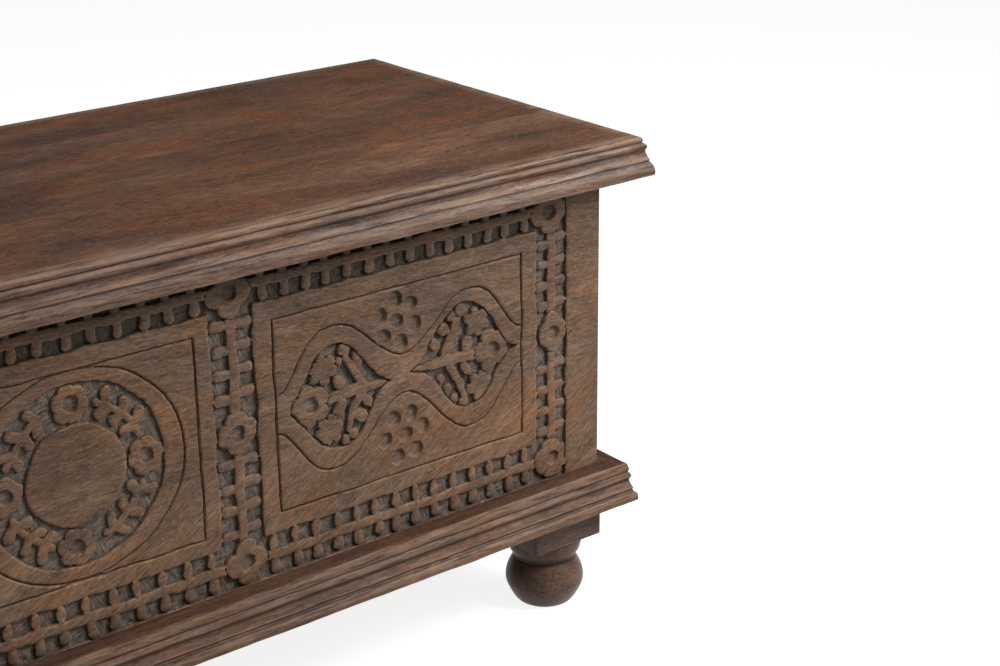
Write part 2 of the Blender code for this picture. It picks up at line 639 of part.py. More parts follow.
def teardrop(middle, way):
    """Outline of a teardrop whose tip looks back at the panel's middle."""
    points = []
    for k in range(28):
        t = 2 * math.pi * (k + 0.5) / 28
        u = -math.cos(t)
        fullness = 0.75 if u < 0 else 1.4
        height = math.copysign(TEAR_B * math.cos(math.pi * u / 2) ** fullness, math.sin(t))
        points.append((middle + way * (TEAR_X + TEAR_A * u), Z_MID + height))
    return points


def bloom_on_stem(x, radius, stem, way):
    """A five-petalled flower with a tapering stem towards the teardrop's tip."""
    toward = 0.0 if way < 0 else math.pi
    points = []
    for k in range(1, 20):
        a = 2 * math.pi * k / 20
        r = petal_radius(a, radius, 5)
        points.append((x + r * math.cos(a + toward), Z_MID + r * math.sin(a + toward)))
    wide = 0.165 * radius
    thin = 0.05 * radius
    for along, across in ((radius, -wide), (stem, -thin), (stem, thin), (radius, wide)):
        points.append((x - way * along, Z_MID - way * across))
    return points


# Side panels: two sunk teardrops, tips towards each other, each with flowers and leaves
TEAR_UNIT = min(TEAR_A, TEAR_B)
BLOOM_R = 0.34 * TEAR_UNIT
BLOOM_AT = 0.466 * TEAR_A
BLOOM_STEM = 1.266 * TEAR_A
LEAVES = ((-0.270, 0.485, 0.323, -0.75), (-0.382, 0.216, 0.366, -0.75), (0.019, 0.194, 0.237, 0.60))
for x0, x1 in (PANELS[0], PANELS[2]):
    middle = (x0 + x1) / 2
    for way in (-1, 1):
        bloom_x = middle + way * (TEAR_X + BLOOM_AT)
        shapes = [teardrop(middle, way), bloom_on_stem(bloom_x, BLOOM_R, BLOOM_STEM, way)]
        pockets.append(outline([ellipse(bloom_x, Z_MID, 0.4 * BLOOM_R, 0.4 * BLOOM_R, 8)], RELIEF * 0.8))
        for up in (-1, 1):
            side_x = middle + way * (TEAR_X + 0.13 * TEAR_A)
            shapes.append(flower(side_x, Z_MID + up * 0.593 * TEAR_B, 0.263 * TEAR_UNIT, 5, up * 0.6, 4))
            for u, v, size, tilt in LEAVES:
                leaf_x = middle + way * (TEAR_X + u * TEAR_A)
                leaf_z = Z_MID + up * v * TEAR_B
                shapes.append(leaf(leaf_x, leaf_z, size * TEAR_UNIT, 0.134 * TEAR_UNIT, up * way * tilt))
        pockets.append(outline(shapes, RELIEF))

# Incised lines and rows of dimples
lines = []
for k, frame in enumerate((FRAME_SIDE, FRAME_CENTRE, FRAME_SIDE)):
    x0, x1 = PANELS[k]
    rings = [rectangle(x0 + inset, PANEL_Z0 + inset, x1 - inset, PANEL_Z1 - inset)
             for inset in (frame, frame + LINE_W)]
    lines.append(outline(rings, LINE_D))
rings = [ellipse(0, Z_MID, MEDAL_RX - inset, MEDAL_RZ - inset, 40) for inset in (0, LINE_W)]
lines.append(outline(rings, LINE_D))


def ribbon_height(x):
    x = abs(x)
    if x < RIBBON_PEAK_X:
        return RIBBON_WAIST + (RIBBON_PEAK - RIBBON_WAIST) * (1 - math.cos(math.pi * x / RIBBON_PEAK_X)) / 2
    t = (x - RIBBON_PEAK_X) / (RIBBON_STOP - RIBBON_PEAK_X)
    return RIBBON_END + (RIBBON_PEAK - RIBBON_END) * (1 + math.cos(math.pi * t)) / 2


dimples = []
for x0, x1 in (PANELS[0], PANELS[2]):
    middle = (x0 + x1) / 2
    for up in (-1, 1):
        track = []
        for k in range(25):
            x = RIBBON_STOP * (k - 12) / 12
            slope = (ribbon_height(x + LINE_W) - ribbon_height(x - LINE_W)) / (2 * LINE_W)
            normal = Vector((-slope, 1.0)).normalized() * (LINE_W / 2)
            track.append((x, ribbon_height(x), normal))
        above = [(middle + x + n.x, Z_MID + up * (z + n.y)) for x, z, n in track]
        below = [(middle + x - n.x, Z_MID + up * (z - n.y)) for x, z, n in track]
        lines.append(outline([above + below[::-1]], LINE_D))
        centre_z = Z_MID + up * DIMPLE_Z
        turn = math.pi / 2 if up > 0 else 0.0
        spots = [(middle, centre_z)] + ellipse(middle, centre_z, DIMPLE_RING, DIMPLE_RING, 6, turn)
        for x, z in spots:
            dimples.append(outline([ellipse(x, z, DIMPLE_R, DIMPLE_R, 8)], DIMPLE_D))

front = box("front_panel", (-HALF_L, FRONT_Y, Z_BODY), (HALF_L, FRONT_Y + PANEL_T, Z_TOP), WOOD_CARVED, EASE)
combine(front, join(pockets), "DIFFERENCE")
combine(front, join(lines + dimples), "DIFFERENCE")
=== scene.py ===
"""Dressed scene of a carved wooden chest. Metres, +Z up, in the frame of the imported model."""
import math

import bpy
import numpy as np
from mathutils import Matrix, Vector


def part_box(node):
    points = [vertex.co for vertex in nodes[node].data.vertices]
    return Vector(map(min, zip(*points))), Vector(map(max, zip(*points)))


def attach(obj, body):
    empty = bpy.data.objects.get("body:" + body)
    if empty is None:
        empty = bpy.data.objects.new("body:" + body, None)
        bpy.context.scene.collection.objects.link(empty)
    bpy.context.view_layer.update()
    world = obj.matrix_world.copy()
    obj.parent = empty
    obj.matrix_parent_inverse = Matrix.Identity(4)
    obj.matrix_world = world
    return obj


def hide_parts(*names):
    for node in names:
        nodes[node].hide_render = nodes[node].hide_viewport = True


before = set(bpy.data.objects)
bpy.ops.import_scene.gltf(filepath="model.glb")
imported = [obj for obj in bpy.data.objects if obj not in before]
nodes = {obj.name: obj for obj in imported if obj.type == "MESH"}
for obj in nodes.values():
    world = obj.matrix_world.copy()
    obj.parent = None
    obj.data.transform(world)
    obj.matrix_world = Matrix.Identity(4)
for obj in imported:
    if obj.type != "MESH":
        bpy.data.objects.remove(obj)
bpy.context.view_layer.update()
scene = bpy.context.scene

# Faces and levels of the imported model
front_lo, front_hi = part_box("front_panel")
HALF_L = front_hi.x
FRONT_Y = front_lo.y
BACK_Y = front_hi.y
HALF_D = -FRONT_Y
Z_BODY = front_lo.z
Z_TOP = front_hi.z
Z_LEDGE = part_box("plinth_front")[1].z
Z_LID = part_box("lid_rim_front")[0].z
Z_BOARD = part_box("lid_board_1")[0].z
MM = 0.001
GAP = 0.0003

# Carved front: layout as in the solid model, cut a little shallower
RELIEF = 0.0037
MARGIN_W = 0.0371
BORDER_W = 0.0347
DIVIDER_W = 0.0396
CHANNEL_H = 0.0378
CENTRE_W = 0.2382
FRAME_SIDE = 0.0165
FRAME_CENTRE = 0.0143
LINE_D = 0.0022
LINE_HALF = 0.0014
RAIL_HALF = 0.0039
SLAT_PITCH = 0.0208
SLAT_BASE = 0.0034
SLAT_TIP = 0.0043
SLAT_GAP = 0.0012
SLAT_SINK = 0.0005
SLAT_ROUND = 0.0008
SLAT_SLIP = 0.0011
SLAT_STAGGER = 0.0009
SLAT_LEAN = 0.09
SLAT_VARY = 0.0007
SLAT_SHORT = 0.0005
BUTTON = 0.0007
TIP_ROUND = 0.9
SPINDLE_BASE = 0.0018
SPINDLE_BULGE = 0.0018
SPINDLE_VARY = 0.0003
SPINDLE_GAP = 0.0003
FLOWER_END_R = 0.0196
FLOWER_MID_R = 0.0188
FLOWER_HOLE_R = 0.0073
FLOWER_GAP = 0.0015
FLOWER_PETALS = 4
TOP_DROP = 0.0014
RING_R = 0.0747
DISC_R = 0.0408
RING_MID = (RING_R + DISC_R) / 2
RING_UP = 0.0014
RING_FLOWER_R = 0.0160
RING_NOTCH = 0.18
STEM_HALF = 0.0027
LEAF_START = 0.0029
LEAF_END = 0.0040
MEDAL_RX = 0.0916
MEDAL_RZ = 0.0851
RIBBONS = ((1, 0.0238, 0.0650, 0.0182), (-1, 0.0115, 0.0600, 0.0155))
RIBBON_PEAK_X = 0.0670
RIBBON_STOP = 0.1246
DIMPLE_GROUPS = ((-0.0060, 0.0540, 0.0187, 38), (-0.0010, -0.0493, 0.0197, 5))
DIMPLE_R = 0.0073
PIT_D = 0.0030
CARVED_X = HALF_L - MARGIN_W
Z_MID = (Z_LEDGE + Z_TOP) / 2
Z_LOW = Z_LEDGE + CHANNEL_H / 2
Z_HIGH = Z_TOP - CHANNEL_H / 2 - TOP_DROP
RAIL_END = CARVED_X - BORDER_W / 2
RAIL_MID = (CENTRE_W + DIVIDER_W) / 2
RAILS = ((-RAIL_END, BORDER_W), (-RAIL_MID, DIVIDER_W), (RAIL_MID, DIVIDER_W), (RAIL_END, BORDER_W))
PANEL_HALF_H = (Z_TOP - Z_LEDGE) / 2 - CHANNEL_H
SIDE_IN = CENTRE_W / 2 + DIVIDER_W
SIDE_OUT = CARVED_X - BORDER_W
SIDE_X = (SIDE_IN + SIDE_OUT) / 2
SIDE_HALF = (SIDE_OUT - SIDE_IN) / 2
PANELS = ((-SIDE_X, SIDE_HALF, FRAME_SIDE), (0.0, CENTRE_W / 2, FRAME_CENTRE),
          (SIDE_X, SIDE_HALF, FRAME_SIDE))

# Hand work on the front: run of the cut walls, worn edges, unsteady lines, mesh spacing
WALL_RUN = 0.0008
WEAR = 0.0005
WEAR_RUN = 0.0015
PIT_RUN = 0.0010
CUT_GAP = 0.0020
BEND = 0.0007
BEND_WAVE = 0.055
TREMOR = 0.00032
TREMOR_WAVE = 0.013
CELL = 0.00108
FAR = 1.0

# Darker and paler places of the front: painted shadow of the lid over the top channel, painted shade on the
# disc, paler ground in the ring and paler middles of the side panels
TOP_PAINTED_SHADOW = 0.42
RING_FADE = 0.02
DISC_PAINTED_SHADE = 0.14
PANEL_PALE = 0.22
PALE_RX = 0.100
PALE_RZ = 0.040


def ease(value, low, high):
    """Smooth step from 0 at low to 1 at high."""
    t = np.clip((value - low) / (high - low), 0.0, 1.0)
    return t * t * (3 - 2 * t)


def wander(seed, wavelength, u, v=0.0):
    """Smooth seeded unevenness, mostly between -1 and 1."""
    rng = np.random.default_rng(seed)
    total = 0.0
    for _ in range(7):
        turn, phase = rng.uniform(0, 2 * math.pi, 2)
        rate = 2 * math.pi / wavelength * rng.uniform(0.6, 1.6)
        total = total + np.sin(rate * (math.cos(turn) * u + math.sin(turn) * v) + phase)
    return total / 2.6


# Signed distances in the front plane, negative inside
def disc(x, z, cx, cz, radius):
    return np.hypot(x - cx, z - cz) - radius


def block(x, z, cx, cz, half_x, half_z):
    dx = np.abs(x - cx) - half_x
    dz = np.abs(z - cz) - half_z
    return np.hypot(np.maximum(dx, 0), np.maximum(dz, 0)) + np.minimum(np.maximum(dx, dz), 0)


def stretch(x, z, start, end):
    """Distance from a straight stretch, and where along it the nearest point lies, 0 to 1."""
    run_x = end[0] - start[0]
    run_z = end[1] - start[1]
    t = ((x - start[0]) * run_x + (z - start[1]) * run_z) / (run_x ** 2 + run_z ** 2)
    t = np.clip(t, 0, 1)
    return np.hypot(x - start[0] - t * run_x, z - start[1] - t * run_z), t


def bar(x, z, start, end, start_r, end_r):
    """A tapering bar with round ends."""
    apart, t = stretch(x, z, start, end)
    return apart - (start_r + (end_r - start_r) * t)


def oval(x, z, cx, cz, rx, rz, turn=0.0):
    u = (x - cx) * math.cos(turn) + (z - cz) * math.sin(turn)
    v = (z - cz) * math.cos(turn) - (x - cx) * math.sin(turn)
    near = np.hypot(u / rx, v / rz)
    steep = np.maximum(np.hypot(u / rx ** 2, v / rz ** 2), 1e-9)
    return np.where(near < 0.2, -0.8 * min(rx, rz), near * (near - 1) / steep)


def flower(x, z, cx, cz, radius, petals=6, phase=0.0, notch=0.24):
    angle = np.arctan2(z - cz, x - cx) - phase
    lobe = np.abs(np.cos(petals * angle / 2)) ** 0.75
    return np.hypot(x - cx, z - cz) - radius * (1 - notch + notch * lobe)


def slim_flower(x, z, cx, cz, radius, phase, notch, slim):
    """A border flower, narrowed from the sides."""
    near = flower(cx + slim * (x - cx), z, cx, cz, radius, FLOWER_PETALS, phase, notch)
    return near / math.sqrt(slim)


def cut_corners(points, passes, closed=False):
    """A path with its corners cut off again and again; an open one keeps its ends."""
    path = np.array(points, dtype=float)
    for _ in range(passes):
        here = path if closed else path[:-1]
        after = np.roll(path, -1, axis=0) if closed else path[1:]
        inner = np.stack((0.75 * here + 0.25 * after, 0.25 * here + 0.75 * after), axis=1).reshape(-1, 2)
        path = inner if closed else np.concatenate((path[:1], inner[1:-1], path[-1:]))
    return path


def outline(x, z, path):
    """Signed distance from a closed path."""
    near = np.full(x.shape, np.inf)
    inside = np.zeros(x.shape, dtype=bool)
    for start, end in zip(path, np.roll(path, -1, axis=0)):
        near = np.minimum(near, stretch(x, z, start, end)[0])
        slope = (end[0] - start[0]) / ((end[1] - start[1]) or 1.0)
        inside ^= ((start[1] > z) != (end[1] > z)) & (x < start[0] + (z - start[1]) * slope)
    return np.where(inside, -near, near)


def stamp(field, x, z, cx, cz, reach, shape, *sizes):
    """Joins a small shape to a field of distances, looking no further than reach from its middle."""
    here = (np.abs(x - cx) < reach) & (np.abs(z - cz) < reach)
    field[here] = np.minimum(field[here], shape(x[here], z[here], *sizes))


# One teardrop in millimetres outward and up from its panel's middle: rim; flowers (at, radius, turn);
# leaves (at, half length, half width, turn in degrees); stalks (from, to, half width at each end)
INNER_TEAR = {
    "rim": ((10, 4), (20, 8), (28, 13), (37, 25), (46, 38), (56, 47), (67, 50.5), (79, 49), (88, 42),
            (95, 30), (104, 15), (117, 1), (104, -12), (95, -23), (87, -34), (77, -41), (66, -44), (54, -43),
            (45, -36), (37, -22), (30, -8), (22, 0.5)),
    "bloom": (93, 1, 19, 0),
    "blossoms": ((80.5, 29.5, 14, 20), (76.5, -25, 14, 50)),
    "leaves": ((65, 14, 7.4, 5.2, 48), (64.5, -8, 7.4, 5, -50), (46, 31, 7.2, 4, 74),
               (58.5, 41.5, 5.8, 4.6, 0), (64.5, 32.5, 3.8, 3.2, 80), (37, -9.5, 6.6, 4.2, 48),
               (45, -19.5, 7, 4.8, 48), (52, -33.5, 4.8, 4, 20), (60.5, -38, 4.6, 4.2, 90)),
    "stalks": (((76, 3), (44, 3.5), 4, 4.6), ((44, 3.5), (14, 4), 4.6, 1), ((43, 9), (57, 34), 4, 3),
               ((41, 0), (51, -9), 3, 3), ((51, -9), (55, -20), 3, 2.8), ((55, -20), (57, -29), 2.8, 2.2)),
}
OUTER_TEAR = {
    "rim": ((2, 5.5), (12, 10), (21, 17), (29, 28), (36, 40), (46, 47.5), (57, 53.5), (68, 54.5), (80, 50),
            (90, 41.5), (98, 27), (107, 12), (116, 4), (126, 2), (114, -2), (105, -9), (96, -21), (88, -33),
            (78, -40.5), (68, -42.5), (55, -38.5), (44, -29), (36, -18), (29, -5), (17, 1.5)),
    "bloom": (93.5, 4, 19.2, 180),
    "blossoms": ((77.5, 33, 14, 40), (79.5, -25, 14, 10)),
    "leaves": ((66, 16, 7, 5.6, 70), (65, -7, 7, 4.2, -54), (33, 22.5, 6.2, 5, -46),
               (41.5, 35.5, 6.8, 5.2, -46), (50, 44.5, 4.8, 3.8, -46), (60.5, 46.5, 5.4, 4.8, 0),
               (36, -10, 5.4, 4.4, 46), (43, -21.5, 5.8, 4.6, 46), (51, -30.5, 4.8, 4, 34),
               (61.5, -36, 4.8, 4, 0)),
    "stalks": (((75, 5), (42, 5.5), 4.6, 4.8), ((42, 5.5), (7, 6), 4.8, 1), ((43, 12), (55, 38), 4.2, 3.4),
               ((48, -1), (59, -21), 4, 3.4), ((59, -21), (63, -31), 3.4, 2.6)),
}
BLOOM_HOLE = 7.3
PIECE_GAP = 1.6
TEAR_MID = 0.064
TEAR_REACH = 0.068


def tear_work(u, v, tear):
    """Rim of a teardrop, the work that stands in it, and the hole in its bloom."""
    rim = outline(u, v, cut_corners(tear["rim"], 2, closed=True))
    out, up, radius, turn = tear["bloom"]
    hole = disc(u, v, out, up, BLOOM_HOLE)
    near = flower(u, v, out, up, radius, 5, math.radians(turn), 0.26)
    for at, height, radius, turn in tear["blossoms"]:
        blossom = flower(u, v, at, height, radius, 6, math.radians(turn), 0.34)
        near = np.minimum(near, np.maximum(blossom, PIECE_GAP - near))
    green = np.full(u.shape, np.inf)
    for at, height, half_l, half_w, turn in tear["leaves"]:
        green = np.minimum(green, oval(u, v, at, height, half_l, half_w, math.radians(turn)))
    for start, end, start_r, end_r in tear["stalks"]:
        green = np.minimum(green, bar(u, v, start, end, start_r, end_r))
    near = np.minimum(near, np.maximum(green, PIECE_GAP - near))
    return rim * MM, near * MM, hole * MM


def station_radius(z):
    return FLOWER_MID_R if z == Z_MID else FLOWER_END_R


def slat(x, z, start, way, left, reach, base, tip, bulge, corner):
    """A blunt paddle that grows to one side of its rail."""
    along = (x - start.x) * way.x + (z - start.y) * way.y
    out = (x - start.x) * left.x + (z - start.y) * left.y
    t = np.clip((out - RAIL_HALF) / (reach - RAIL_HALF), 0, 1)
    half = base + (tip - base) * t + bulge * np.sin(math.pi * t)
    side = np.abs(along) - half + corner
    end = np.abs(out - reach / 2) - reach / 2 + corner
    beyond = np.hypot(np.maximum(side, 0), np.maximum(end, 0))
    return beyond + np.minimum(np.maximum(side, end), 0) - corner


def slats(x, z):
    """Spindles above the lowest rail, and paddles along the other sides, each a little different."""
    rng = np.random.default_rng(5)
    spindles = np.full(x.shape, FAR)
    paddles = np.full(x.shape, FAR)
    runs = []
    for level in (Z_LOW, Z_HIGH):
        for (xa, _), (xb, _) in zip(RAILS, RAILS[1:]):
            runs.append((xa, level, xb, level, CHANNEL_H))
    for xr, width in RAILS:
        for za, zb in ((Z_LOW, Z_MID), (Z_MID, Z_HIGH)):
            runs.append((xr, za, xr, zb, width))
    for xa, za, xb, zb, width in runs:
        here = Vector((xa, za))
        way = Vector((xb, zb)) - here
        first = station_radius(za)
        free = way.length - first - station_radius(zb)
        way.normalize()
        count = max(1, round(free / SLAT_PITCH))
        for j in range(count):
            for side in (-1, 1):
                shift, lean, wide, short = rng.uniform(-1, 1, 4)
                spindle = side > 0 and za == zb == Z_LOW
                button = BUTTON if side < 0 and za == zb == Z_LOW else 0.0
                room = width / 2 + side * (TOP_DROP if za == zb == Z_HIGH else 0.0)
                left = (Vector((-way.y, way.x)) * side + way * (SLAT_LEAN * lean)).normalized()
                along = first + free * (j + 0.5) / count
                start = here + way * (along + SLAT_SLIP * shift - SLAT_STAGGER * side)
                reach = room - (SPINDLE_GAP if spindle else SLAT_GAP + SLAT_SHORT * (1 + short))
                base = SPINDLE_BASE if spindle else SLAT_BASE
                tip = base if spindle else SLAT_TIP + button + SLAT_VARY * wide
                bulge = SPINDLE_BULGE + SPINDLE_VARY * wide if spindle else 0.0
                middle = start + left * (reach / 2)
                stamp(spindles if spindle else paddles, x, z, middle.x, middle.y, reach / 2 + 14 * MM,
                      slat, start, way, left, reach, base, tip, bulge, TIP_ROUND * tip)
    return spindles, paddles


# Border flowers from low to high: shift outward and up from the rails' crossing (mm), slimness, notch
END_FLOWERS = ((0.5, -0.2, 1.0, 0.20), (1.5, 3.2, 1.2, 0.19), (-2.6, -2.5, 1.0, 0.26))
MID_FLOWERS = ((2.3, 1.2, 1.0, 0.31), (0.2, -3.5, 1.0, 0.24), (-1.2, -3.8, 1.0, 0.30))


def rails(x, z):
    """Bands of the slatted border, its flowers, and the holes in the flowers."""
    bands = np.full(x.shape, FAR)
    flowers = np.full(x.shape, FAR)
    holes = np.full(x.shape, FAR)
    for level in (Z_LOW, Z_HIGH):
        bands = np.minimum(bands, block(x, z, 0.0, level, RAIL_END, RAIL_HALF))
    for k, (xr, _) in enumerate(RAILS):
        bands = np.minimum(bands, block(x, z, xr, (Z_LOW + Z_HIGH) / 2, RAIL_HALF, (Z_HIGH - Z_LOW) / 2))
        spots = END_FLOWERS if abs(xr) == RAIL_END else MID_FLOWERS
        for level, (out, up, slim, notch) in zip((Z_LOW, Z_MID, Z_HIGH), spots):
            cx = xr + math.copysign(1, xr) * out * MM
            cz = level + up * MM
            radius = station_radius(level)
            stamp(flowers, x, z, cx, cz, 30 * MM, slim_flower, cx, cz, radius, 0.08 * (k - 1.5), notch, slim)
            stamp(holes, x, z, cx, cz, 20 * MM, disc, cx, cz, FLOWER_HOLE_R)
    return bands, flowers, holes


# Ring from the right-hand flower on: turn of each flower and end of the spray after it, in degrees
RING_TURNS = (0, 0, 0, -5)
SPRAY_ENDS = (68, 68, 64, 68)


def medallion_work(x, z):
    """Four flowers and four lobed sprays in the sunk ring, and the holes in the flowers."""
    near = np.full(x.shape, FAR)
    holes = np.full(x.shape, FAR)
    rng = np.random.default_rng(8)

    def polar(radius, angle):
        return (radius * math.cos(angle), Z_MID + RING_UP + radius * math.sin(angle))

    def branch(start, end, start_r, end_r):
        stamp(near, x, z, start[0], start[1], 28 * MM, bar, start, end, start_r, end_r)

    for k in range(4):
        quarter = k * math.pi / 2
        cx, cz = polar(RING_MID, quarter + math.radians(RING_TURNS[k]))
        stamp(near, x, z, cx, cz, 28 * MM, flower, cx, cz, RING_FLOWER_R, 6, quarter + 0.2, RING_NOTCH)
        stamp(holes, x, z, cx, cz, 18 * MM, disc, cx, cz, FLOWER_HOLE_R)
        first = quarter + math.radians(21)
        last = quarter + math.radians(SPRAY_ENDS[k])
        angles = np.linspace(first, last, 7)
        for a, b in zip(angles, angles[1:]):
            branch(polar(RING_MID, a), polar(RING_MID, b), STEM_HALF, STEM_HALF)
        for j in range(3):
            for reach in (-0.0090, 0.0095):
                slip, longer, wide = rng.uniform(-1, 1, 3)
                a = first + (last - first) * (j + 0.42 + 0.16 * slip) / 3
                tip = polar(RING_MID + reach * (1 + 0.10 * longer), a + 0.085)
                branch(polar(RING_MID, a), tip, LEAF_START, LEAF_END + 0.5 * MM * wide)
    return near, holes


def nearer(a, b):
    return np.where(np.abs(a) < np.abs(b), a, b)


def ribbon_height(x, waist, peak, end):
    x = np.abs(x)
    rise = waist + (peak - waist) * (1 - np.cos(math.pi * x / RIBBON_PEAK_X)) / 2
    t = np.clip((x - RIBBON_PEAK_X) / (RIBBON_STOP - RIBBON_PEAK_X), 0, 2)
    fall = end + (peak - end) * (1 + np.cos(math.pi * t ** 1.45)) / 2
    return np.where(x < RIBBON_PEAK_X, rise, fall)


def incised(x, z):
    """Signed distance from the nearest incised line: frames, ring and ribbons."""
    near = np.full(x.shape, FAR)
    for middle, half, inset in PANELS:
        near = nearer(near, block(x, z, middle, Z_MID, half - inset, PANEL_HALF_H - inset))
    near = nearer(near, oval(x, z, 0.0, Z_MID + 0.6 * MM, MEDAL_RX, MEDAL_RZ))
    for middle in (-SIDE_X, SIDE_X):
        for up, waist, peak, end in RIBBONS:
            height = ribbon_height(x - middle, waist, peak, end)
            slope = (ribbon_height(x - middle + MM, waist, peak, end) - height) / MM
            apart = (up * (z - Z_MID) - height) / np.sqrt(1 + slope ** 2)
            near = nearer(near, np.where(np.abs(x - middle) < RIBBON_STOP, apart, FAR))
    return near


def dimples(x, z):
    near = np.full(x.shape, FAR)
    rng = np.random.default_rng(6)
    for middle in (-SIDE_X, SIDE_X):
        for across, up, ring, first in DIMPLE_GROUPS:
            spots = [(0.0, 0.0)]
            for k in range(6):
                a = math.radians(first + 60 * k + rng.uniform(-5, 5))
                reach = ring * rng.uniform(0.95, 1.05)
                spots.append((reach * math.cos(a), reach * math.sin(a)))
            for dx, dz in spots:
                cx = middle + across + dx
                cz = Z_MID + up + dz
                stamp(near, x, z, cx, cz, 14 * MM, disc, cx, cz, DIMPLE_R)
    return near


def carving(x, z):
    """Distances over the front: edges of the standing work and of the lower slats, pits, incised lines."""
    bend_x = BEND * wander(11, BEND_WAVE, x, z) + TREMOR * wander(12, TREMOR_WAVE, x, z)
    bend_z = BEND * wander(13, BEND_WAVE, x, z) + TREMOR * wander(14, TREMOR_WAVE, x, z)
    lines = incised(x + 0.5 * bend_x, z + 0.5 * bend_z)
    x = x + bend_x
    z = z + bend_z
    panels = np.full(x.shape, FAR)
    for middle, half, _ in PANELS:
        panels = np.minimum(panels, block(x, z, middle, Z_MID, half, PANEL_HALF_H))
    field = block(x, z, 0.0, Z_MID + 2 * MM, CARVED_X, Z_TOP - Z_MID + 3 * MM)
    sunk = np.maximum(field, -panels)
    reach = np.hypot(x, z - Z_MID - RING_UP)
    sunk = np.minimum(sunk, np.maximum(reach - RING_R, DISC_R - reach))
    bands, flowers, pits = rails(x, z)
    extra, holes = medallion_work(x, z)
    clear = FLOWER_GAP - flowers
    spindles, paddles = slats(x, z)
    standing = np.minimum(np.minimum(flowers, extra), np.maximum(np.minimum(bands, spindles), clear))
    pits = np.minimum(pits, holes)
    for middle in (-SIDE_X, SIDE_X):
        outward = math.copysign(1, middle)
        for way, tear in ((-outward, INNER_TEAR), (outward, OUTER_TEAR)):
            u = way * (x - middle)
            here = (np.abs(u - TEAR_MID) < TEAR_REACH) & (np.abs(z - Z_MID) < TEAR_REACH)
            rim, work, hole = tear_work(u[here] / MM, (z[here] - Z_MID) / MM, tear)
            sunk[here] = np.minimum(sunk[here], rim)
            standing[here] = np.minimum(standing[here], work)
            pits[here] = np.minimum(pits[here], hole)
    standing = np.maximum(standing, sunk + CUT_GAP)
    standing = np.minimum(standing, np.maximum(spindles, clear))
    edge = np.minimum(-sunk, standing)
    return edge, np.maximum(paddles, clear), np.minimum(pits, dimples(x, z)), lines


def sinking(x, z, edge, low, pits, line):
    """Depth of the carved surface behind the front face."""
    rough = 1 + 0.10 * wander(21, 0.013, x, z) + 0.05 * wander(23, 0.004, x, 0.3 * z)
    rough = rough * (1 - 0.25 * ease(np.hypot(x, z - Z_MID - RING_UP), RING_R + 4 * MM, RING_R))
    depth = RELIEF * ease(edge, 0.0, WALL_RUN) * rough
    depth = np.maximum(depth, WEAR * ease(-edge, WEAR_RUN, 0.0))
    lower = SLAT_SINK + SLAT_ROUND * ease(-low, 2.6 * MM, 0.0)
    lower = lower + (RELIEF * rough - lower) * ease(low, 0.0, WALL_RUN)
    depth = np.minimum(depth, np.maximum(lower, SLAT_SINK * ease(edge, -0.5 * MM, WALL_RUN)))
    depth = np.maximum(depth, PIT_D * ease(-pits, -0.1 * MM, PIT_RUN))
    depth = np.maximum(depth, LINE_D * ease(np.abs(line), LINE_HALF, 0.1 * MM) * (edge < 0))
    return depth + 0.10 * MM * (1 + wander(22, 0.030, x, z)) * ease(HALF_L - np.abs(x), 0, 5 * MM)


def add_mesh(name, points, faces, skin, marks=None):
    """A new mesh object; marks are named numbers, one for each vertex."""
    mesh = bpy.data.meshes.new(name)
    mesh.from_pydata(points, [], faces)
    for mark, values in (marks or {}).items():
        layer = mesh.attributes.new(mark, "FLOAT", "POINT")
        layer.data.foreach_set("value", np.asarray(values, dtype=np.float32).ravel())
    mesh.materials.append(skin)
    made = bpy.data.objects.new(name, mesh)
    scene.collection.objects.link(made)
    return made


def loft(name, rings, skin, marks, crease, flip=False):
    """A closed skin over equal rings of points, shaded smooth up to a crease in degrees."""
    rows, columns = rings.shape[:2]
    index = np.arange(rows * columns).reshape(rows, columns)
    following = np.roll(index, -1, axis=1)
    faces = np.stack((index[:-1], following[:-1], following[1:], index[1:]), axis=-1).reshape(-1, 4)
    if flip:
        faces = faces[:, (0, 3, 2, 1)]
    ends = (index[0], index[-1][::-1]) if flip else (index[0][::-1], index[-1])
    faces = [tuple(face) for face in faces] + [tuple(end) for end in ends]
    made = add_mesh(name, rings.reshape(-1, 3), faces, skin, marks)
    made.data.shade_smooth()
    made.data.set_sharp_from_angle(angle=math.radians(crease))
    return made


def spaced(start, end, step):
    return np.linspace(start, end, max(2, round((end - start) / step) + 1))


def lay_out(mesh, low, high, thick):
    """Bake map of a plank: front and back cut into strips of equal length, the edges folded out."""
    fold = 0.25
    pad = 8 * MM
    length = 2 * HALF_L
    count = max(1, round(math.sqrt(length / (2 * (high - low)))))
    run = length / count
    row = high - low + 2 * fold * thick + pad
    scale = 0.98 / max(run + 2 * fold * thick + 2 * pad, 2 * count * row + pad)
    points = np.empty(len(mesh.vertices) * 3)
    mesh.vertices.foreach_get("co", points)
    points = points.reshape(-1, 3)
    places = np.empty((len(mesh.loops), 2))
    for face in mesh.polygons:
        corners = points[list(face.vertices)]
        normal = face.normal
        back = normal.y > 0.9 and corners[:, 1].min() > BACK_Y - MM
        strip = int(np.clip((corners[:, 0].mean() + HALF_L) / run, 0, count - 1))
        across = corners[:, 0].copy()
        up = corners[:, 2] - low
        deep = fold * (corners[:, 1] - FRONT_Y)
        if not back and corners[:, 1].max() > BACK_Y - MM:
            if abs(normal.x) > 0.5:
                across += math.copysign(1, normal.x) * deep
            else:
                up += math.copysign(1, normal.z) * deep
        lane = strip + (count if back else 0)
        span = slice(face.loop_start, face.loop_start + face.loop_total)
        places[span, 0] = (across + HALF_L - strip * run + fold * thick + pad) * scale
        places[span, 1] = (up + lane * row + fold * thick + pad) * scale
    layer = mesh.uv_layers.new(name="OFBake")
    layer.data.foreach_set("uv", places.ravel())


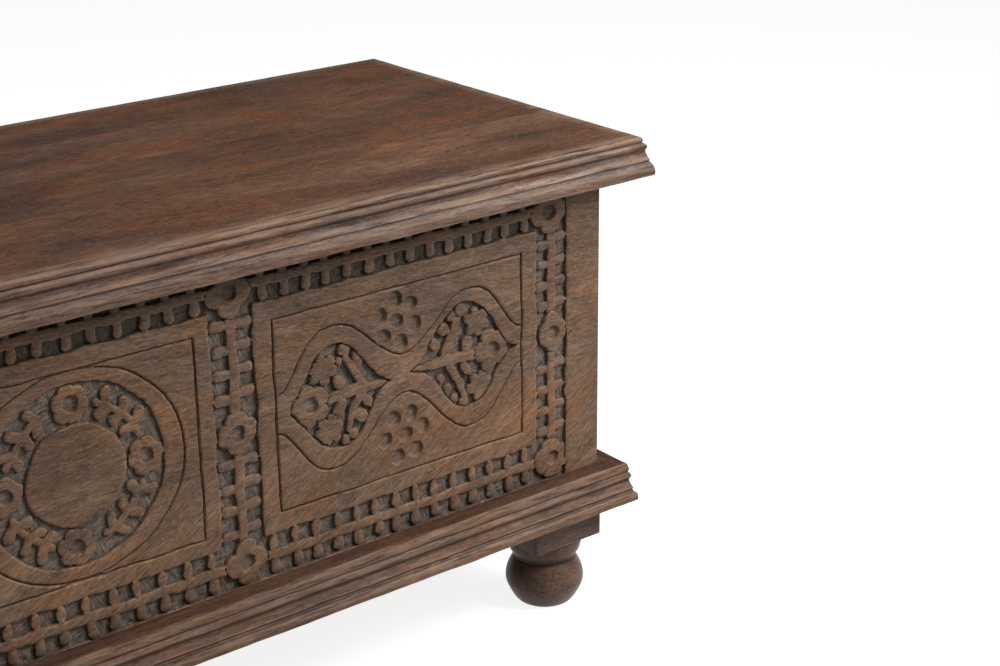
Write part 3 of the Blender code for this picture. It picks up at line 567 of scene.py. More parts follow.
def snapped_grid(xs, zs):
    """A grid over the front whose points next to a cut edge are moved onto it."""
    x, z = np.meshgrid(xs, zs)
    edge, low_edge, pits, line = carving(x, z)
    for field, level in ((line, 0), (pits, -CELL), (pits, 0), (low_edge, 0), (edge, CELL), (edge, 0)):
        slope_z, slope_x = np.gradient(field, zs, xs)
        field = field - level
        near = np.abs(field) < (0.35 if level else 0.5) * CELL
        near[[0, -1], :] = False
        near[:, [0, -1]] = False
        x = np.where(near, x - field * slope_x, x)
        z = np.where(near, z - field * slope_z, z)
    return x, z


def stain_and_painted_shade(x, z, edge, pits):
    """Darker and paler places as a factor of the colour: painted shadow in the top channel, painted shade on
    the disc, paler ring ground and panel middles.
    """
    reach = np.hypot(x, z - Z_MID - RING_UP)
    sunk = ease(edge, 0.2 * MM, 1.0 * MM)
    holes = 0.8 * ease(-pits, 0.2 * MM, 0.9 * MM)
    channel = ease(z, Z_TOP - CHANNEL_H - 2 * MM, Z_TOP - CHANNEL_H + 3 * MM)
    # Painted shadow of the lid over the ground and the pit floors of the top channel
    colour_factor = 1 - TOP_PAINTED_SHADOW * np.maximum(sunk, holes) * channel
    colour_factor = colour_factor + RING_FADE * sunk * ease(reach, RING_R + 3 * MM, RING_R)
    # Painted shade that darkens the raised disc of the medallion
    colour_factor = colour_factor - DISC_PAINTED_SHADE * (1 - sunk) * ease(reach, DISC_R + 3 * MM, DISC_R - 6 * MM)
    middle = np.hypot((np.abs(x) - SIDE_X) / PALE_RX, (z - Z_MID) / PALE_RZ)
    return colour_factor + PANEL_PALE * (1 - sunk) * ease(middle, 1.0, 0.2)


def front_plank(name, low, high, skin):
    """A carved plank of the front: the cut face as a fine grid, plain edges and back."""
    margin = spaced(CARVED_X + 4 * MM, HALF_L, 3 * MM)
    xs = np.concatenate((-margin[::-1], spaced(-CARVED_X - 3 * MM, CARVED_X + 3 * MM, CELL), margin))
    zs = spaced(max(low, Z_LEDGE - 2 * MM), high, CELL)
    if low < Z_LEDGE - 3 * MM:
        zs = np.concatenate((spaced(low, Z_LEDGE - 6 * MM, 8 * MM), zs))
    x, z = snapped_grid(xs, zs)
    edge, low_edge, pits, line = carving(x, z)
    y = FRONT_Y + sinking(x, z, edge, low_edge, pits, line)
    slat_top = ease(edge, 0.0, 1.0 * MM) * ease(-low_edge, -0.2 * MM, 0.4 * MM)
    edge = np.minimum(edge, low_edge)
    rows, columns = x.shape
    back = np.stack((x[[-1, 0]], np.full((2, columns), BACK_Y), z[[-1, 0]]), axis=-1)
    points = np.concatenate((np.stack((x, y, z), axis=-1), back)).reshape(-1, 3)
    index = np.arange(len(points)).reshape(rows + 2, columns)
    above = np.roll(index, -1, axis=0)
    quads = np.stack((index[:, :-1], index[:, 1:], above[:, 1:], above[:, :-1]), axis=-1)
    faces = [tuple(quad) for quad in quads.reshape(-1, 4)]
    for column, flip in ((0, False), (-1, True)):
        *ring, low_back = index[:, column]
        for a, b in zip(ring, ring[1:]):
            faces.append((b, a, low_back) if flip else (low_back, a, b))

    def marked(values, behind):
        return np.concatenate((values.ravel(), np.full(2 * columns, behind)))

    marks = {"edge": marked(np.clip(edge / MM, -6, 6), -6.0),
             "slat": marked(slat_top, 0.0),
             # Colour factor with painted shadow in the top channel and painted shade on the disc
             "colour_factor": marked(stain_and_painted_shade(x, z, edge, pits), 1.0),
             "pit": marked(np.clip(-pits / MM, -6, 6), -6.0),
             "line": marked(np.clip(np.abs(line) / MM, 0, 6), 6.0)}
    made = add_mesh(name, points, faces, skin, marks)
    smooth = np.zeros(len(faces), dtype=bool)
    smooth[:(rows - 1) * (columns - 1)] = True
    made.data.polygons.foreach_set("use_smooth", smooth)
    made.data.set_sharp_from_angle(angle=math.radians(40))
    lay_out(made.data, low, high, BACK_Y - FRONT_Y)
    return made


class Shade:
    """The nodes of a new material, or of the world, in the making."""

    def __init__(self, owner, shader="Principled BSDF"):
        owner.use_nodes = True
        self.owner = owner
        self.tree = owner.node_tree
        self.shader = self.tree.nodes[shader]

    def node(self, kind, inputs=None, **settings):
        made = self.tree.nodes.new("ShaderNode" + kind)
        for key, value in settings.items():
            setattr(made, key, value)
        for key, value in (inputs or {}).items():
            self.put(made.inputs[key], value)
        return made

    def put(self, socket, value):
        if isinstance(value, bpy.types.NodeSocket):
            self.tree.links.new(value, socket)
        else:
            socket.default_value = value

    def give(self, name, value):
        """Sets or links an input of the shader."""
        self.put(self.shader.inputs[name], value)

    def place(self, vector, location=(0, 0, 0), rotation=(0, 0, 0), scale=(1, 1, 1)):
        inputs = {"Vector": vector, "Location": location, "Rotation": rotation, "Scale": scale}
        return self.node("Mapping", inputs).outputs["Vector"]

    def noise(self, vector, scale, detail, roughness, distortion=0, shift=(0, 0, 0)):
        drawn = self.place(vector, location=shift, scale=scale)
        inputs = {"Vector": drawn, "Scale": 1.0, "Detail": detail, "Roughness": roughness,
                  "Distortion": distortion}
        return self.node("TexNoise", inputs).outputs["Fac"]

    def span(self, value, low, high, to_low=0.0, to_high=1.0):
        inputs = {"Value": value, "From Min": low, "From Max": high, "To Min": to_low, "To Max": to_high}
        return self.node("MapRange", inputs, interpolation_type="SMOOTHSTEP").outputs["Result"]

    def math(self, operation, a, b):
        return self.node("Math", {0: a, 1: b}, operation=operation).outputs[0]

    def times(self, a, b):
        return self.math("MULTIPLY", a, b)

    def mark(self, name):
        return self.node("Attribute", attribute_name=name).outputs["Fac"]

    def colours(self, value, places, shades):
        made = self.node("ValToRGB", {"Fac": value})
        band = made.color_ramp
        while len(band.elements) < len(shades):
            band.elements.new(0.5)
        for element, place, shade in zip(band.elements, places, shades):
            element.position = place
            element.color = (*shade, 1.0)
        return made.outputs["Color"]

    def mix(self, factor, a, b, blend="MIX"):
        made = self.node("Mix", data_type="RGBA", blend_type=blend)
        for socket, value in ((made.inputs[0], factor), (made.inputs[6], a), (made.inputs[7], b)):
            self.put(socket, (*value, 1.0) if isinstance(value, tuple) else value)
        return made.outputs[2]

    def shaded(self, colour, factor):
        """The colour times a grey factor."""
        grey = self.node("CombineColor", {0: factor, 1: factor, 2: factor}).outputs[0]
        return self.mix(1.0, colour, grey, "MULTIPLY")

    def bump(self, height, strength, distance, normal=None):
        inputs = {"Height": height, "Strength": strength, "Distance": distance}
        if normal is not None:
            inputs["Normal"] = normal
        return self.node("Bump", inputs).outputs["Normal"]


def tones(*rows):
    """Colours from thousandths."""
    return tuple(tuple(part / 1000 for part in row) for row in rows)


# Tones of the wood from dark to light
GROUND_TONES = tones((76, 61, 50), (122, 99, 82), (184, 151, 126))
FRONT_TONES = tones((67, 42, 29), (117, 71, 46), (165, 99, 62), (226, 139, 86))
WARM_TONES = tones((75, 45, 30), (131, 77, 49), (185, 107, 65), (245, 150, 91))
LID_TONES = tones((45, 22, 14), (83, 40, 24), (122, 56, 31), (168, 84, 47))
EDGE_TONES = tones((57, 32, 22), (99, 56, 40), (139, 81, 56), (190, 114, 83))
LEDGE_TONES = tones((32, 15, 10), (56, 27, 17), (78, 39, 24), (106, 56, 35))
PLINTH_TONES = tones((62, 34, 22), (108, 61, 41), (154, 89, 59), (208, 127, 88))
FOOT_TONES = tones((60, 33, 23), (100, 57, 40), (140, 81, 58), (190, 116, 86))
INSIDE_TONES = tones((115, 72, 44), (180, 115, 71), (240, 158, 98), (300, 205, 130))

# Turns that lay the fibres along an axis, and the stain's tints
ALONG_X = (0.0, 0.0, 0.0)
ALONG_Y = (0.0, 0.0, math.pi / 2)
ALONG_Z = (0.0, math.pi / 2, 0.0)
WOOD_SHEEN = 0.15
COOL = (0.90, 1.00, 1.12)
RUSTY = (1.18, 0.95, 0.72)
PALE = (0.255, 0.163, 0.106)
PIT_TINT = (0.98, 1.12, 1.30)


def wood(name, grain, seed, shades, gloss=0.45, carved=False, streaks=0.28, side_shades=None, tint=0.6,
         spread=1):
    """Stained mango wood; grain turns the fibres onto X, shades run from dark to light."""
    s = Shade(bpy.data.materials.new(name))
    rng = np.random.default_rng(seed)
    at = s.node("TexCoord").outputs["Object"]
    local = s.place(at, location=tuple(rng.uniform(-3, 3, 3)), rotation=grain)

    def layer(along, across, detail, roughness, distortion=0, shift=(0, 0, 0)):
        """Noise drawn out along the fibres."""
        return s.noise(local, (along, across, across), detail, roughness, distortion, shift)

    broad = layer(6 * spread, 20 * spread, 4, 0.6, 1)
    streak = layer(10, 130, 4, 0.6, 0.4)
    cloud = layer(12, 26, 4, 0.62, 0.6, (1, 9, 4))
    hue = layer(9 * spread, 24 * spread, 4, 0.6, 0.8, (4, 1, 6))
    strand = layer(70, 420, 3, 0.6, 0, (2, 5, 8))
    fibre = layer(170, 950, 3, 0.65)
    pores = layer(150, 1100, 1, 0.5)
    flecks = layer(260, 1000, 1, 0.5, 0, (7, 3, 1))
    scuff = layer(26, 420, 4, 0.62, 0, (3, 8, 5))
    value = s.math("ADD", s.times(broad, 0.62 - streaks), s.times(cloud, 0.38))
    value = s.math("ADD", value, s.times(streak, streaks))
    side = s.mark("side")
    places = np.linspace(0.35, 0.65, len(shades))
    colour = s.colours(value, places, shades)
    if side_shades:
        colour = s.mix(side, colour, s.colours(value, places, side_shades))
    colour_factor = s.colours(hue, (0.36, 0.5, 0.64), (COOL, (1, 1, 1), RUSTY))
    colour = s.mix(tint, colour, colour_factor, "MULTIPLY")
    colour = s.shaded(colour, s.span(strand, 0.3, 0.7, 0.78, 1.22))
    colour = s.shaded(colour, s.span(fibre, 0.32, 0.68, 0.76, 1.24))
    colour = s.shaded(colour, s.span(pores, 0.58, 0.68, 1, 0.6))
    colour = s.mix(s.span(flecks, 0.58, 0.72, 0, 0.45), colour, tuple(1.4 * part for part in shades[-1]))
    rough = s.span(streak, 0.3, 0.7, gloss - 0.06, gloss + 0.1)
    relief = s.math("SUBTRACT", s.times(fibre, 0.5), s.span(pores, 0.6, 0.7, 0, 0.5))
    normal = s.bump(relief, 0.35, 0.0005)
    grime = s.noise(at, (35, 35, 35), 4, 0.6)
    worn = s.times(s.mark("ridge"), s.span(scuff, 0.38, 0.6, 0.08, 0.8))
    colour = s.mix(worn, colour, PALE)
    bare = s.times(side, s.span(scuff, 0.46, 0.34, 0, 0.45))
    colour = s.shaded(colour, s.math("SUBTRACT", 1, bare))
    # Darker in the hollows of the mouldings and feet: grime and painted shade
    grime_and_shade = s.times(s.mark("hollow"), s.span(grime, 0.3, 0.6, 0.85, 1.15))
    colour = s.shaded(colour, s.span(grime_and_shade, 0, 0.9, 1, 0.34))
    if carved:
        colour, rough, normal = carve_finish(s, at, colour, rough, normal, grime)
    s.give("Base Color", colour)
    s.give("Roughness", rough)
    s.give("Normal", normal)
    s.give("Specular IOR Level", WOOD_SHEEN)
    return s.owner


def carve_finish(s, at, colour, rough, normal, grime):
    """Dull hatched ground, painted shade at the foot of the walls and in the lines, pale worn edges, painted
    highlight on the lips of the pits and lines.
    """
    edge = s.mark("edge")
    pit = s.mark("pit")
    line = s.mark("line")
    sunk = s.span(edge, 0.1, 0.9)
    cut = s.place(at, rotation=(0, 0.32, 0))
    upright = s.noise(cut, (820, 300, 120), 2, 0.55, 0.4)
    level = s.noise(cut, (125, 300, 780), 2, 0.55, 0.4, (5, 2, 7))
    patch = s.span(s.noise(at, (46, 46, 46), 1, 0.4, 0, (2, 2, 5)), 0.46, 0.54)
    hatch = s.math("ADD", upright, s.times(patch, s.math("SUBTRACT", level, upright)))
    hatch = s.span(hatch, 0.36, 0.64)
    rubbed = s.noise(at, (420, 420, 420), 2, 0.6)
    tone = s.math("ADD", s.times(hatch, 0.55), s.times(rubbed, 0.45))
    ground = s.colours(tone, (0.15, 0.5, 0.85), GROUND_TONES)
    dull = s.math("MAXIMUM", s.times(sunk, 0.85), s.times(s.mark("slat"), 0.28))
    colour = s.mix(dull, colour, ground)
    # Painted shade along the foot of the cut walls, where they meet the ground
    foot = s.times(s.span(edge, 0, 0.5), s.span(edge, 0.9, 1.7, 1, 0))
    colour = s.shaded(colour, s.span(foot, 0, 1, 1, 0.52))
    worn = s.times(s.span(edge, -1.3, -0.3), s.span(edge, 0, 0.4, 1, 0))
    worn = s.times(worn, s.span(grime, 0.4, 0.62, 0.1, 1))
    colour = s.shaded(colour, s.span(worn, 0, 1, 1, 1.3))
    # Painted shade in the incised lines
    colour = s.shaded(colour, s.span(line, 0.2, 0.9, 0.42, 1))
    # Paler lips on the rims of the pits and on the lit walls of the lines: painted highlight, on the pit
    # rims also wear
    painted_lip_highlight = s.times(s.span(pit, -0.5, 0.1), s.span(pit, 0.4, 1, 1, 0))
    painted_lip_highlight = s.math("MAXIMUM", painted_lip_highlight, s.times(s.span(line, 0.8, 1.1), s.span(line, 1.5, 1.9, 1, 0)))
    colour = s.shaded(colour, s.span(painted_lip_highlight, 0, 1, 1, 1.16))
    colour = s.mix(s.span(pit, 0.6, 1.2, 0, 0.9), colour, PIT_TINT, "MULTIPLY")
    # Colour factor of the front, with painted shadow in the top channel and painted shade on the disc
    colour = s.shaded(colour, s.mark("colour_factor"))
    rough = s.math("ADD", rough, s.times(sunk, 0.22))
    height = s.times(s.math("ADD", hatch, s.times(rubbed, 0.6)), sunk)
    return colour, rough, s.bump(height, 0.6, 0.0006, normal)


def metal(name, seed, shades, gloss):
    """Aged metal with tarnish and fine scratches."""
    s = Shade(bpy.data.materials.new(name))
    at = s.node("TexCoord").outputs["Object"]
    cloud = s.noise(at, (160, 160, 160), 5, 0.6, 0, (seed, 0, 0))
    scratch = s.noise(at, (90, 2200, 2200), 2, 0.5)
    colour = s.colours(cloud, (0.34, 0.5, 0.68), shades)
    s.give("Base Color", s.shaded(colour, s.span(scratch, 0.35, 0.65, 0.85, 1.1)))
    s.give("Roughness", s.span(cloud, 0.3, 0.7, gloss + 0.18, gloss))
    s.give("Normal", s.bump(s.math("ADD", cloud, scratch), 0.15, 0.0003))
    s.give("Metallic", 1)
    return s.owner


# Carved front of three glued planks
PLANK_LEVELS = (Z_BODY, 0.250, 0.320, Z_TOP)
PLANK_GRAIN = (math.radians(27), math.radians(3), math.radians(-4))
PLANK_TONES = (WARM_TONES, FRONT_TONES, FRONT_TONES)
for k in range(3):
    skin = wood(f"carved_plank_{k + 1}", (0.0, PLANK_GRAIN[k], 0.0), 31 + k, PLANK_TONES[k], 0.5, True)
    piece = front_plank(f"front_plank_{k + 1}", PLANK_LEVELS[k], PLANK_LEVELS[k + 1], skin)
    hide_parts("front_panel")
    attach(piece, "chest")


def bends(path):
    """Hollow and ridge marks, 0 to 1, of a profile that runs down its outer face."""
    before = path[1:-1] - path[:-2]
    after = path[2:] - path[1:-1]
    cross = before[:, 0] * after[:, 1] - before[:, 1] * after[:, 0]
    turn = np.arctan2(cross, (before * after).sum(axis=1))
    length = (np.hypot(*before.T) + np.hypot(*after.T)) / 2
    curve = np.concatenate(([0.0], turn / np.maximum(length, 0.4 * MM) * MM, [0.0]))
    kernel = np.array((0.15, 0.22, 0.26, 0.22, 0.15))
    curve = np.convolve(np.pad(curve, 2, mode="edge"), kernel, mode="valid")
    return np.clip(curve / 0.30, 0, 1), np.clip(-curve / 0.40, 0, 1)


# Points along the mouldings and across a lid plank; reach of the planks' underside
SIDES = ("front", "right", "back", "left")
LONG_STEPS = 181
SHORT_STEPS = 71
PLANK_STEPS = 31
UNDER_INSET = -0.02


def moulding(name, side, outer, back, bands, skin, seed, uneven):
    """A mitred strip; outer runs down its moulded face, back closes it upward, bands are worn pale or
    darkened with grime and painted shade.
    """
    long_side = side in ("front", "back")
    half_run = HALF_L if long_side else HALF_D
    half_across = HALF_D if long_side else HALF_L
    path = np.concatenate((outer, back))
    hollow, ridge = bends(outer)
    above = outer[:, 1] - outer[-1, 1]
    for middle, half, wear in bands:
        near = ease(np.abs(above - middle * MM), half * MM, 0.0)
        ridge = np.maximum(ridge, wear * near)
        hollow = np.maximum(hollow, -wear * near)
    moulded = np.concatenate((np.ones(len(outer)), np.zeros(len(back))))
    moulded[0] = 0.0
    steps = np.linspace(-1, 1, LONG_STEPS if long_side else SHORT_STEPS)
    t, out = np.meshgrid(steps, path[:, 0], indexing="ij")
    height = np.broadcast_to(path[:, 1], t.shape)
    run = t * (half_run + out - 0.5 * GAP)
    fade = ease(1 - np.abs(t), 0.0, 0.03) * moulded
    shift = wander(seed, 0.070, run, 9 * height) + 0.5 * wander(seed + 1, 0.020, run, 4 * height)
    shift = uneven * fade * shift
    lift = 0.7 * uneven * fade * wander(seed + 2, 0.090, run, 5 * height)
    spin = np.array(Matrix.Rotation(SIDES.index(side) * math.pi / 2, 3, "Z"))
    points = np.stack((run, -(half_across + out + shift), height + lift), axis=-1).reshape(-1, 3) @ spin.T
    plain = np.zeros(len(back))
    flank = ease(outer[0, 1] - outer[:, 1], 0.3 * MM, 1.5 * MM)
    marks = {"hollow": hollow, "ridge": ridge, "side": flank}
    marks = {mark: np.tile(np.concatenate((values, plain)), len(steps)) for mark, values in marks.items()}
    return loft(name, points.reshape(*t.shape, 3), skin, marks, 48)


def in_metres(points, base):
    return np.array([(out * MM, base + up * MM) for out, up in points])


# Plinth: ledge, hollow, bead and foot of the moulding (overhang, height above the body's foot)
PLINTH_PATH = ((0.3, 37.2), (12, 37.2), (18.6, 37.2), (19.4, 36.8), (20, 35.4), (20.6, 33.6),
               (21.1, 31.8), (21.2, 30.4), (20.9, 29.4), (20.3, 28.8), (20.8, 28.1), (21.5, 27.2),
               (22.2, 26.1), (22.7, 25), (22.8, 23.9), (22.3, 22.6), (21.4, 21.4), (21.2, 20.4),
               (21.6, 18.6), (22.4, 16.2), (23.4, 13.9), (24.1, 12.7), (24, 12), (23.5, 11.4),
               (23.7, 10.7), (24.1, 9.8), (24.6, 8.9), (25.5, 8.2), (26.5, 7.4), (27.2, 5.9),
               (27.5, 3.6), (27.5, 1), (27.3, 0.1), (26.4, 0))
PLINTH_WORN = ((34.4, 3.2, 0.75), (24.8, 2.4, 0.75), (5.6, 3.4, 0.75))
plinth_outer = cut_corners(in_metres(PLINTH_PATH, Z_BODY), 2)
plinth_back = in_metres(((12.0, 0.0), (0.3, 0.0)), Z_BODY)

# Lid: boards with a round, a bead and a hollow; rim strip below (overhang, height above the rim's foot)
BOARD_PATH = ((-10, 35.1), (3, 35.1), (12, 35.1), (19, 35), (22.8, 34.8), (25, 34.1), (26.1, 32.8),
              (26.5, 31.4), (26.4, 30.4), (25.9, 29.6), (26.4, 29.1), (27.6, 28.5), (28.7, 27.2),
              (29.1, 26.1), (29.1, 25.1), (28.7, 24.1), (28.1, 23.2), (27.9, 22.4), (28.1, 21.2),
              (28.6, 19.4), (29.5, 17.2), (30.6, 14.9), (31.2, 13.9), (31, 13.5))
RIM_PATH = ((-20, 13.2), (20, 13.2), (30.4, 13.2), (30.8, 12.8), (31.1, 12.2), (31.7, 11.5),
            (32.4, 10.5), (33, 9.5), (33.6, 8.2), (34.1, 6.6), (34.4, 4.8), (34.5, 3.2), (34.4, 1.4),
            (34, 0.3), (32.8, 0))
# Bands of the rim (height, half width, amount): a pale worn band, and painted shade in the recess under the
# board's lip
RIM_WEAR_AND_SHADE = ((8.0, 2.6, 0.75), (12.6, 1.3, -0.9))
board_outer = cut_corners(in_metres(BOARD_PATH, Z_LID), 2)
rim_outer = cut_corners(in_metres(RIM_PATH, Z_LID), 2)
rim_back = in_metres(((15.0, 0.0), (-30.0, 0.0), (-30.0, 13.2)), Z_LID)
for k, side in enumerate(SIDES):
    grain = ALONG_X if side in ("front", "back") else ALONG_Y
    skin = wood("plinth_wood_" + side, grain, 51 + k, LEDGE_TONES, 0.46, side_shades=PLINTH_TONES)
    piece = moulding("plinth_strip_" + side, side, plinth_outer, plinth_back, PLINTH_WORN, skin,
                     210 + 10 * k, 0.25 * MM)
    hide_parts("plinth_" + side)
    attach(piece, "chest")
    skin = wood("rim_wood_" + side, grain, 61 + k, EDGE_TONES, 0.42)
    piece = moulding("lid_rim_strip_" + side, side, rim_outer, rim_back, RIM_WEAR_AND_SHADE, skin,
                     310 + 10 * k, 0.22 * MM)
    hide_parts("lid_rim_" + side)
    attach(piece, "lid")


def lid_board(name, low_y, high_y, skin, seed):
    """A lid plank as a stack of outlines; a side with no joint follows the moulded path."""
    hollow, ridge = bends(board_outer)
    flank = ease(board_outer[:, 0], 0.0070, 0.0220)
    rise = board_outer[:, 1] - Z_BOARD
    ridge = np.maximum(ridge, 0.8 * flank * ease(rise, 17.4 * MM, 19.2 * MM))
    ridge = np.maximum(ridge, 0.65 * flank * ease(rise, 6.5 * MM, 2.5 * MM))
    along = np.linspace(-1, 1, LONG_STEPS)
    across = np.linspace(-1, 1, PLANK_STEPS)
    points = []
    for out, height in (*board_outer, (UNDER_INSET, Z_BOARD)):
        reach = HALF_L + out
        front = -(HALF_D + out) if low_y is None else low_y
        behind = HALF_D + out if high_y is None else high_y
        middle = (front + behind) / 2
        half = (behind - front) / 2
        ring = [(reach * t, front) for t in along[:-1]]
        ring += [(reach, middle + half * t) for t in across[:-1]]
        ring += [(-reach * t, behind) for t in along[:-1]]
        ring += [(-reach, middle - half * t) for t in across[:-1]]
        ring = np.array(ring)
        lean = ease(out, 0.018, 0.0225) * ease(height, Z_BOARD, Z_BOARD + 2 * MM)
        sway = wander(seed, 0.075, ring[:, 0] + 3 * height, ring[:, 1] + 5 * height)
        sway = 0.22 * MM * lean * (sway + 0.5 * wander(seed + 1, 0.021, ring[:, 0], ring[:, 1] + 3 * height))
        free_x = ease(reach - np.abs(ring[:, 0]), 0.0, 12 * MM)
        free_y = ease(np.minimum(ring[:, 1] - front, behind - ring[:, 1]), 0.0, 12 * MM)
        if low_y is None:
            ring[:, 1] -= np.where(ring[:, 1] <= front + 1e-9, sway * free_x, 0.0)
        if high_y is None:
            ring[:, 1] += np.where(ring[:, 1] >= behind - 1e-9, sway * free_x, 0.0)
        ring[:, 0] += np.where(np.abs(ring[:, 0]) >= reach - 1e-9, np.sign(ring[:, 0]) * sway * free_y, 0.0)
        points.append(np.column_stack((ring, np.full(len(ring), height))))
    marks = {"hollow": hollow, "ridge": ridge, "side": flank}
    marks = {mark: np.repeat(np.append(values, 0.0), len(points[0])) for mark, values in marks.items()}
    return loft(name, np.array(points), skin, marks, 48, flip=True)


# Lid planks, split where the solid model is split
LID_BOARDS = 4
LID_SHADES = (1.06, 0.90, 1.02, 0.94)
for k in range(LID_BOARDS):
    node = f"lid_board_{k + 1}"
    low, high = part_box(node)
    low_y = None if k == 0 else low.y - 0.05 * MM
    high_y = None if k == LID_BOARDS - 1 else high.y + 0.05 * MM
    shades = tuple(tuple(LID_SHADES[k] * part for part in tone) for tone in LID_TONES)
    skin = wood(f"lid_wood_{k + 1}", ALONG_X, 71 + k, shades, 0.40, streaks=0.08, side_shades=EDGE_TONES,
                tint=1.0, spread=0.62)
    piece = lid_board(f"lid_plank_{k + 1}", low_y, high_y, skin, 410 + 10 * k)
    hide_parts(node)
    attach(piece, "lid")

# Feet: square block, hollow neck and turned bun with a fine line (radius, height)
FOOT_HALF = 0.0388
FOOT_BLOCK = 0.069
BUN_SHIFT = 0.0026
BUN_PATH = ((0, 0), (23, 0), (25.8, 0.7), (28.6, 3.8), (31.7, 8.8), (34.4, 14), (36.2, 18.8),
            (36.8, 21.6), (36.7, 22.4), (36.9, 23.2), (36.6, 27), (35.7, 31.2), (34.2, 35.4),
            (32.1, 39.6), (30, 43.2), (28.8, 45), (28.4, 46), (28.9, 47.2), (30.6, 49.6), (32.4, 52.2),
            (33.7, 55.4), (34.5, 59), (34.9, 64), (35, 69))
# Block of the foot from its lower edge up (inset, height)
BLOCK_PATH = ((1, 0), (0.25, 0.25), (0, 1), (0, 12), (0, 24), (0, 34.6), (0.5, 35.4), (6, 35.5))


def foot(name, cx, cy, skin, seed):
    """A foot as a stack of outlines, round below the block and square in it."""
    turns = np.arange(96) * 2 * math.pi / 96
    corner = np.array((-3.0, -1.5, 1.5, 3.0)) * math.pi / 180
    extra = [math.pi / 4 + k * math.pi / 2 + c for k in range(4) for c in corner]
    turns = np.sort(np.unique(np.round(np.concatenate((turns, extra)), 6)))
    ca = np.cos(turns)
    sa = np.sin(turns)
    path = cut_corners(np.array(BUN_PATH) * MM, 1)
    hollow, ridge = bends(path[::-1])
    hollow = list(hollow[::-1][1:])
    ridge = list(ridge[::-1][1:])
    rings = []
    for radius, height in path[1:]:
        swell = radius * (1 + 0.004 * wander(seed, 2.2, turns, height / 0.03))
        bun_x = cx + math.copysign(BUN_SHIFT, cx)
        rings.append(np.stack((bun_x + swell * ca, cy + swell * sa, np.full(len(turns), height)), axis=-1))
    chamfer = 1.0 * MM
    square = np.minimum(FOOT_HALF / np.maximum(np.abs(ca), np.abs(sa)),
                        (2 * FOOT_HALF - chamfer) / (np.abs(ca) + np.abs(sa)))
    worn = 0.3 * MM * wander(seed + 1, 1.1, turns)
    for inset, height in BLOCK_PATH:
        reach = square - inset * MM - np.abs(worn) * (height < 34)
        level = np.full(len(turns), FOOT_BLOCK + height * MM)
        rings.append(np.stack((cx + reach * ca, cy + reach * sa, level), axis=-1))
        hollow.append(0.0)
        ridge.append(1.0 if 0.1 < inset < 1.2 else 0.0)
    marks = {"hollow": np.repeat(hollow, len(turns)), "ridge": np.repeat(ridge, len(turns))}
    return loft(name, np.array(rings), skin, marks, 42)


foot_wood = wood("foot_wood", ALONG_X, 81, FOOT_TONES, 0.36, streaks=0.18)
for k, corner in enumerate(("front_left", "front_right", "back_left", "back_right")):
    low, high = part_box("foot_" + corner)
    middle = (low + high) / 2
    piece = foot("turned_foot_" + corner, middle.x, middle.y, foot_wood, 510 + 10 * k)
    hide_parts("foot_" + corner)
    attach(piece, "chest")

# Finish of the solid model's pieces that stay
HINGE_METAL = metal("hinge_metal", 91, tones((200, 165, 115), (300, 250, 180), (380, 325, 240)), 0.34)
BOLT_METAL = metal("bolt_metal", 92, tones((340, 340, 350), (500, 500, 520), (620, 620, 640)), 0.30)
KEPT = {"back_panel": wood("back_wood", ALONG_X, 101, FRONT_TONES, 0.5),
        "end_panel": wood("end_wood", ALONG_Y, 102, FRONT_TONES, 0.5),
        "bottom_board": wood("bottom_wood", ALONG_X, 103, INSIDE_TONES, 0.62),
        "cleat_front": wood("cleat_wood", ALONG_X, 104, INSIDE_TONES, 0.62),
        "cleat_left": wood("cleat_end_wood", ALONG_Y, 105, INSIDE_TONES, 0.62),
        "corner_block": wood("corner_wood", ALONG_Z, 106, INSIDE_TONES, 0.62),
        "lid_batten": wood("batten_wood", ALONG_Y, 107, INSIDE_TONES, 0.6),
        "hinge": HINGE_METAL,
        "foot_bolt": BOLT_METAL}
KEPT["cleat_back"] = KEPT["cleat_front"]
KEPT["cleat_right"] = KEPT["cleat_left"]
for name, node in nodes.items():
    for stem, skin in KEPT.items():
        if name.startswith(stem):
            node.data.materials.clear()
            node.data.materials.append(skin)

# Screws of the hinges: low slotted heads, three in each body leaf and two in each lid leaf
SCREW_R = 0.0026
SCREW_UP = 0.00015
SCREW_SLOT = 0.0004
SCREW_SINK = 0.0004


def screw_head(name, place, facing, turn):
    """A slotted head that stands on a leaf at place and faces along facing."""
    start = math.asin(SCREW_SLOT / SCREW_R)
    arc = np.linspace(start, math.pi - start, 13)
    angles = np.concatenate((arc, arc + math.pi))
    count = len(angles)
    half = len(arc)
    ring = np.stack((SCREW_R * np.cos(angles), SCREW_R * np.sin(angles)), axis=-1)
    points = [(x, y, height) for height in (-SCREW_SINK, SCREW_UP) for x, y in ring]
    ends = (0, half - 1, half, count - 1)
    floor_of = {k: 2 * count + j for j, k in enumerate(ends)}
    points += [(*ring[k], 0.02 * MM) for k in ends]
    faces = [tuple(range(count))[::-1]]
    for first in (0, half):
        last = first + half - 1
        faces.append(tuple(count + k for k in range(first, last + 1)))
        faces.append((count + first, count + last, floor_of[last], floor_of[first]))
        for k in range(first, last):
            low_edge = [k, k + 1] + ([floor_of[k + 1]] if k + 1 == last else [])
            high_edge = [count + k + 1, count + k] + ([floor_of[k]] if k == first else [])
            faces.append(tuple(low_edge + high_edge))
        after = (last + 1) % count
        faces.append((last, after, floor_of[after], floor_of[last]))
    faces.append(tuple(floor_of[k] for k in ends))
    made = add_mesh(name, points, faces, BOLT_METAL)
    pose = Matrix.Translation(place) @ Vector(facing).to_track_quat("Z", "Y").to_matrix().to_4x4()
    made.data.transform(pose @ Matrix.Rotation(turn, 4, "Z"))
    return made


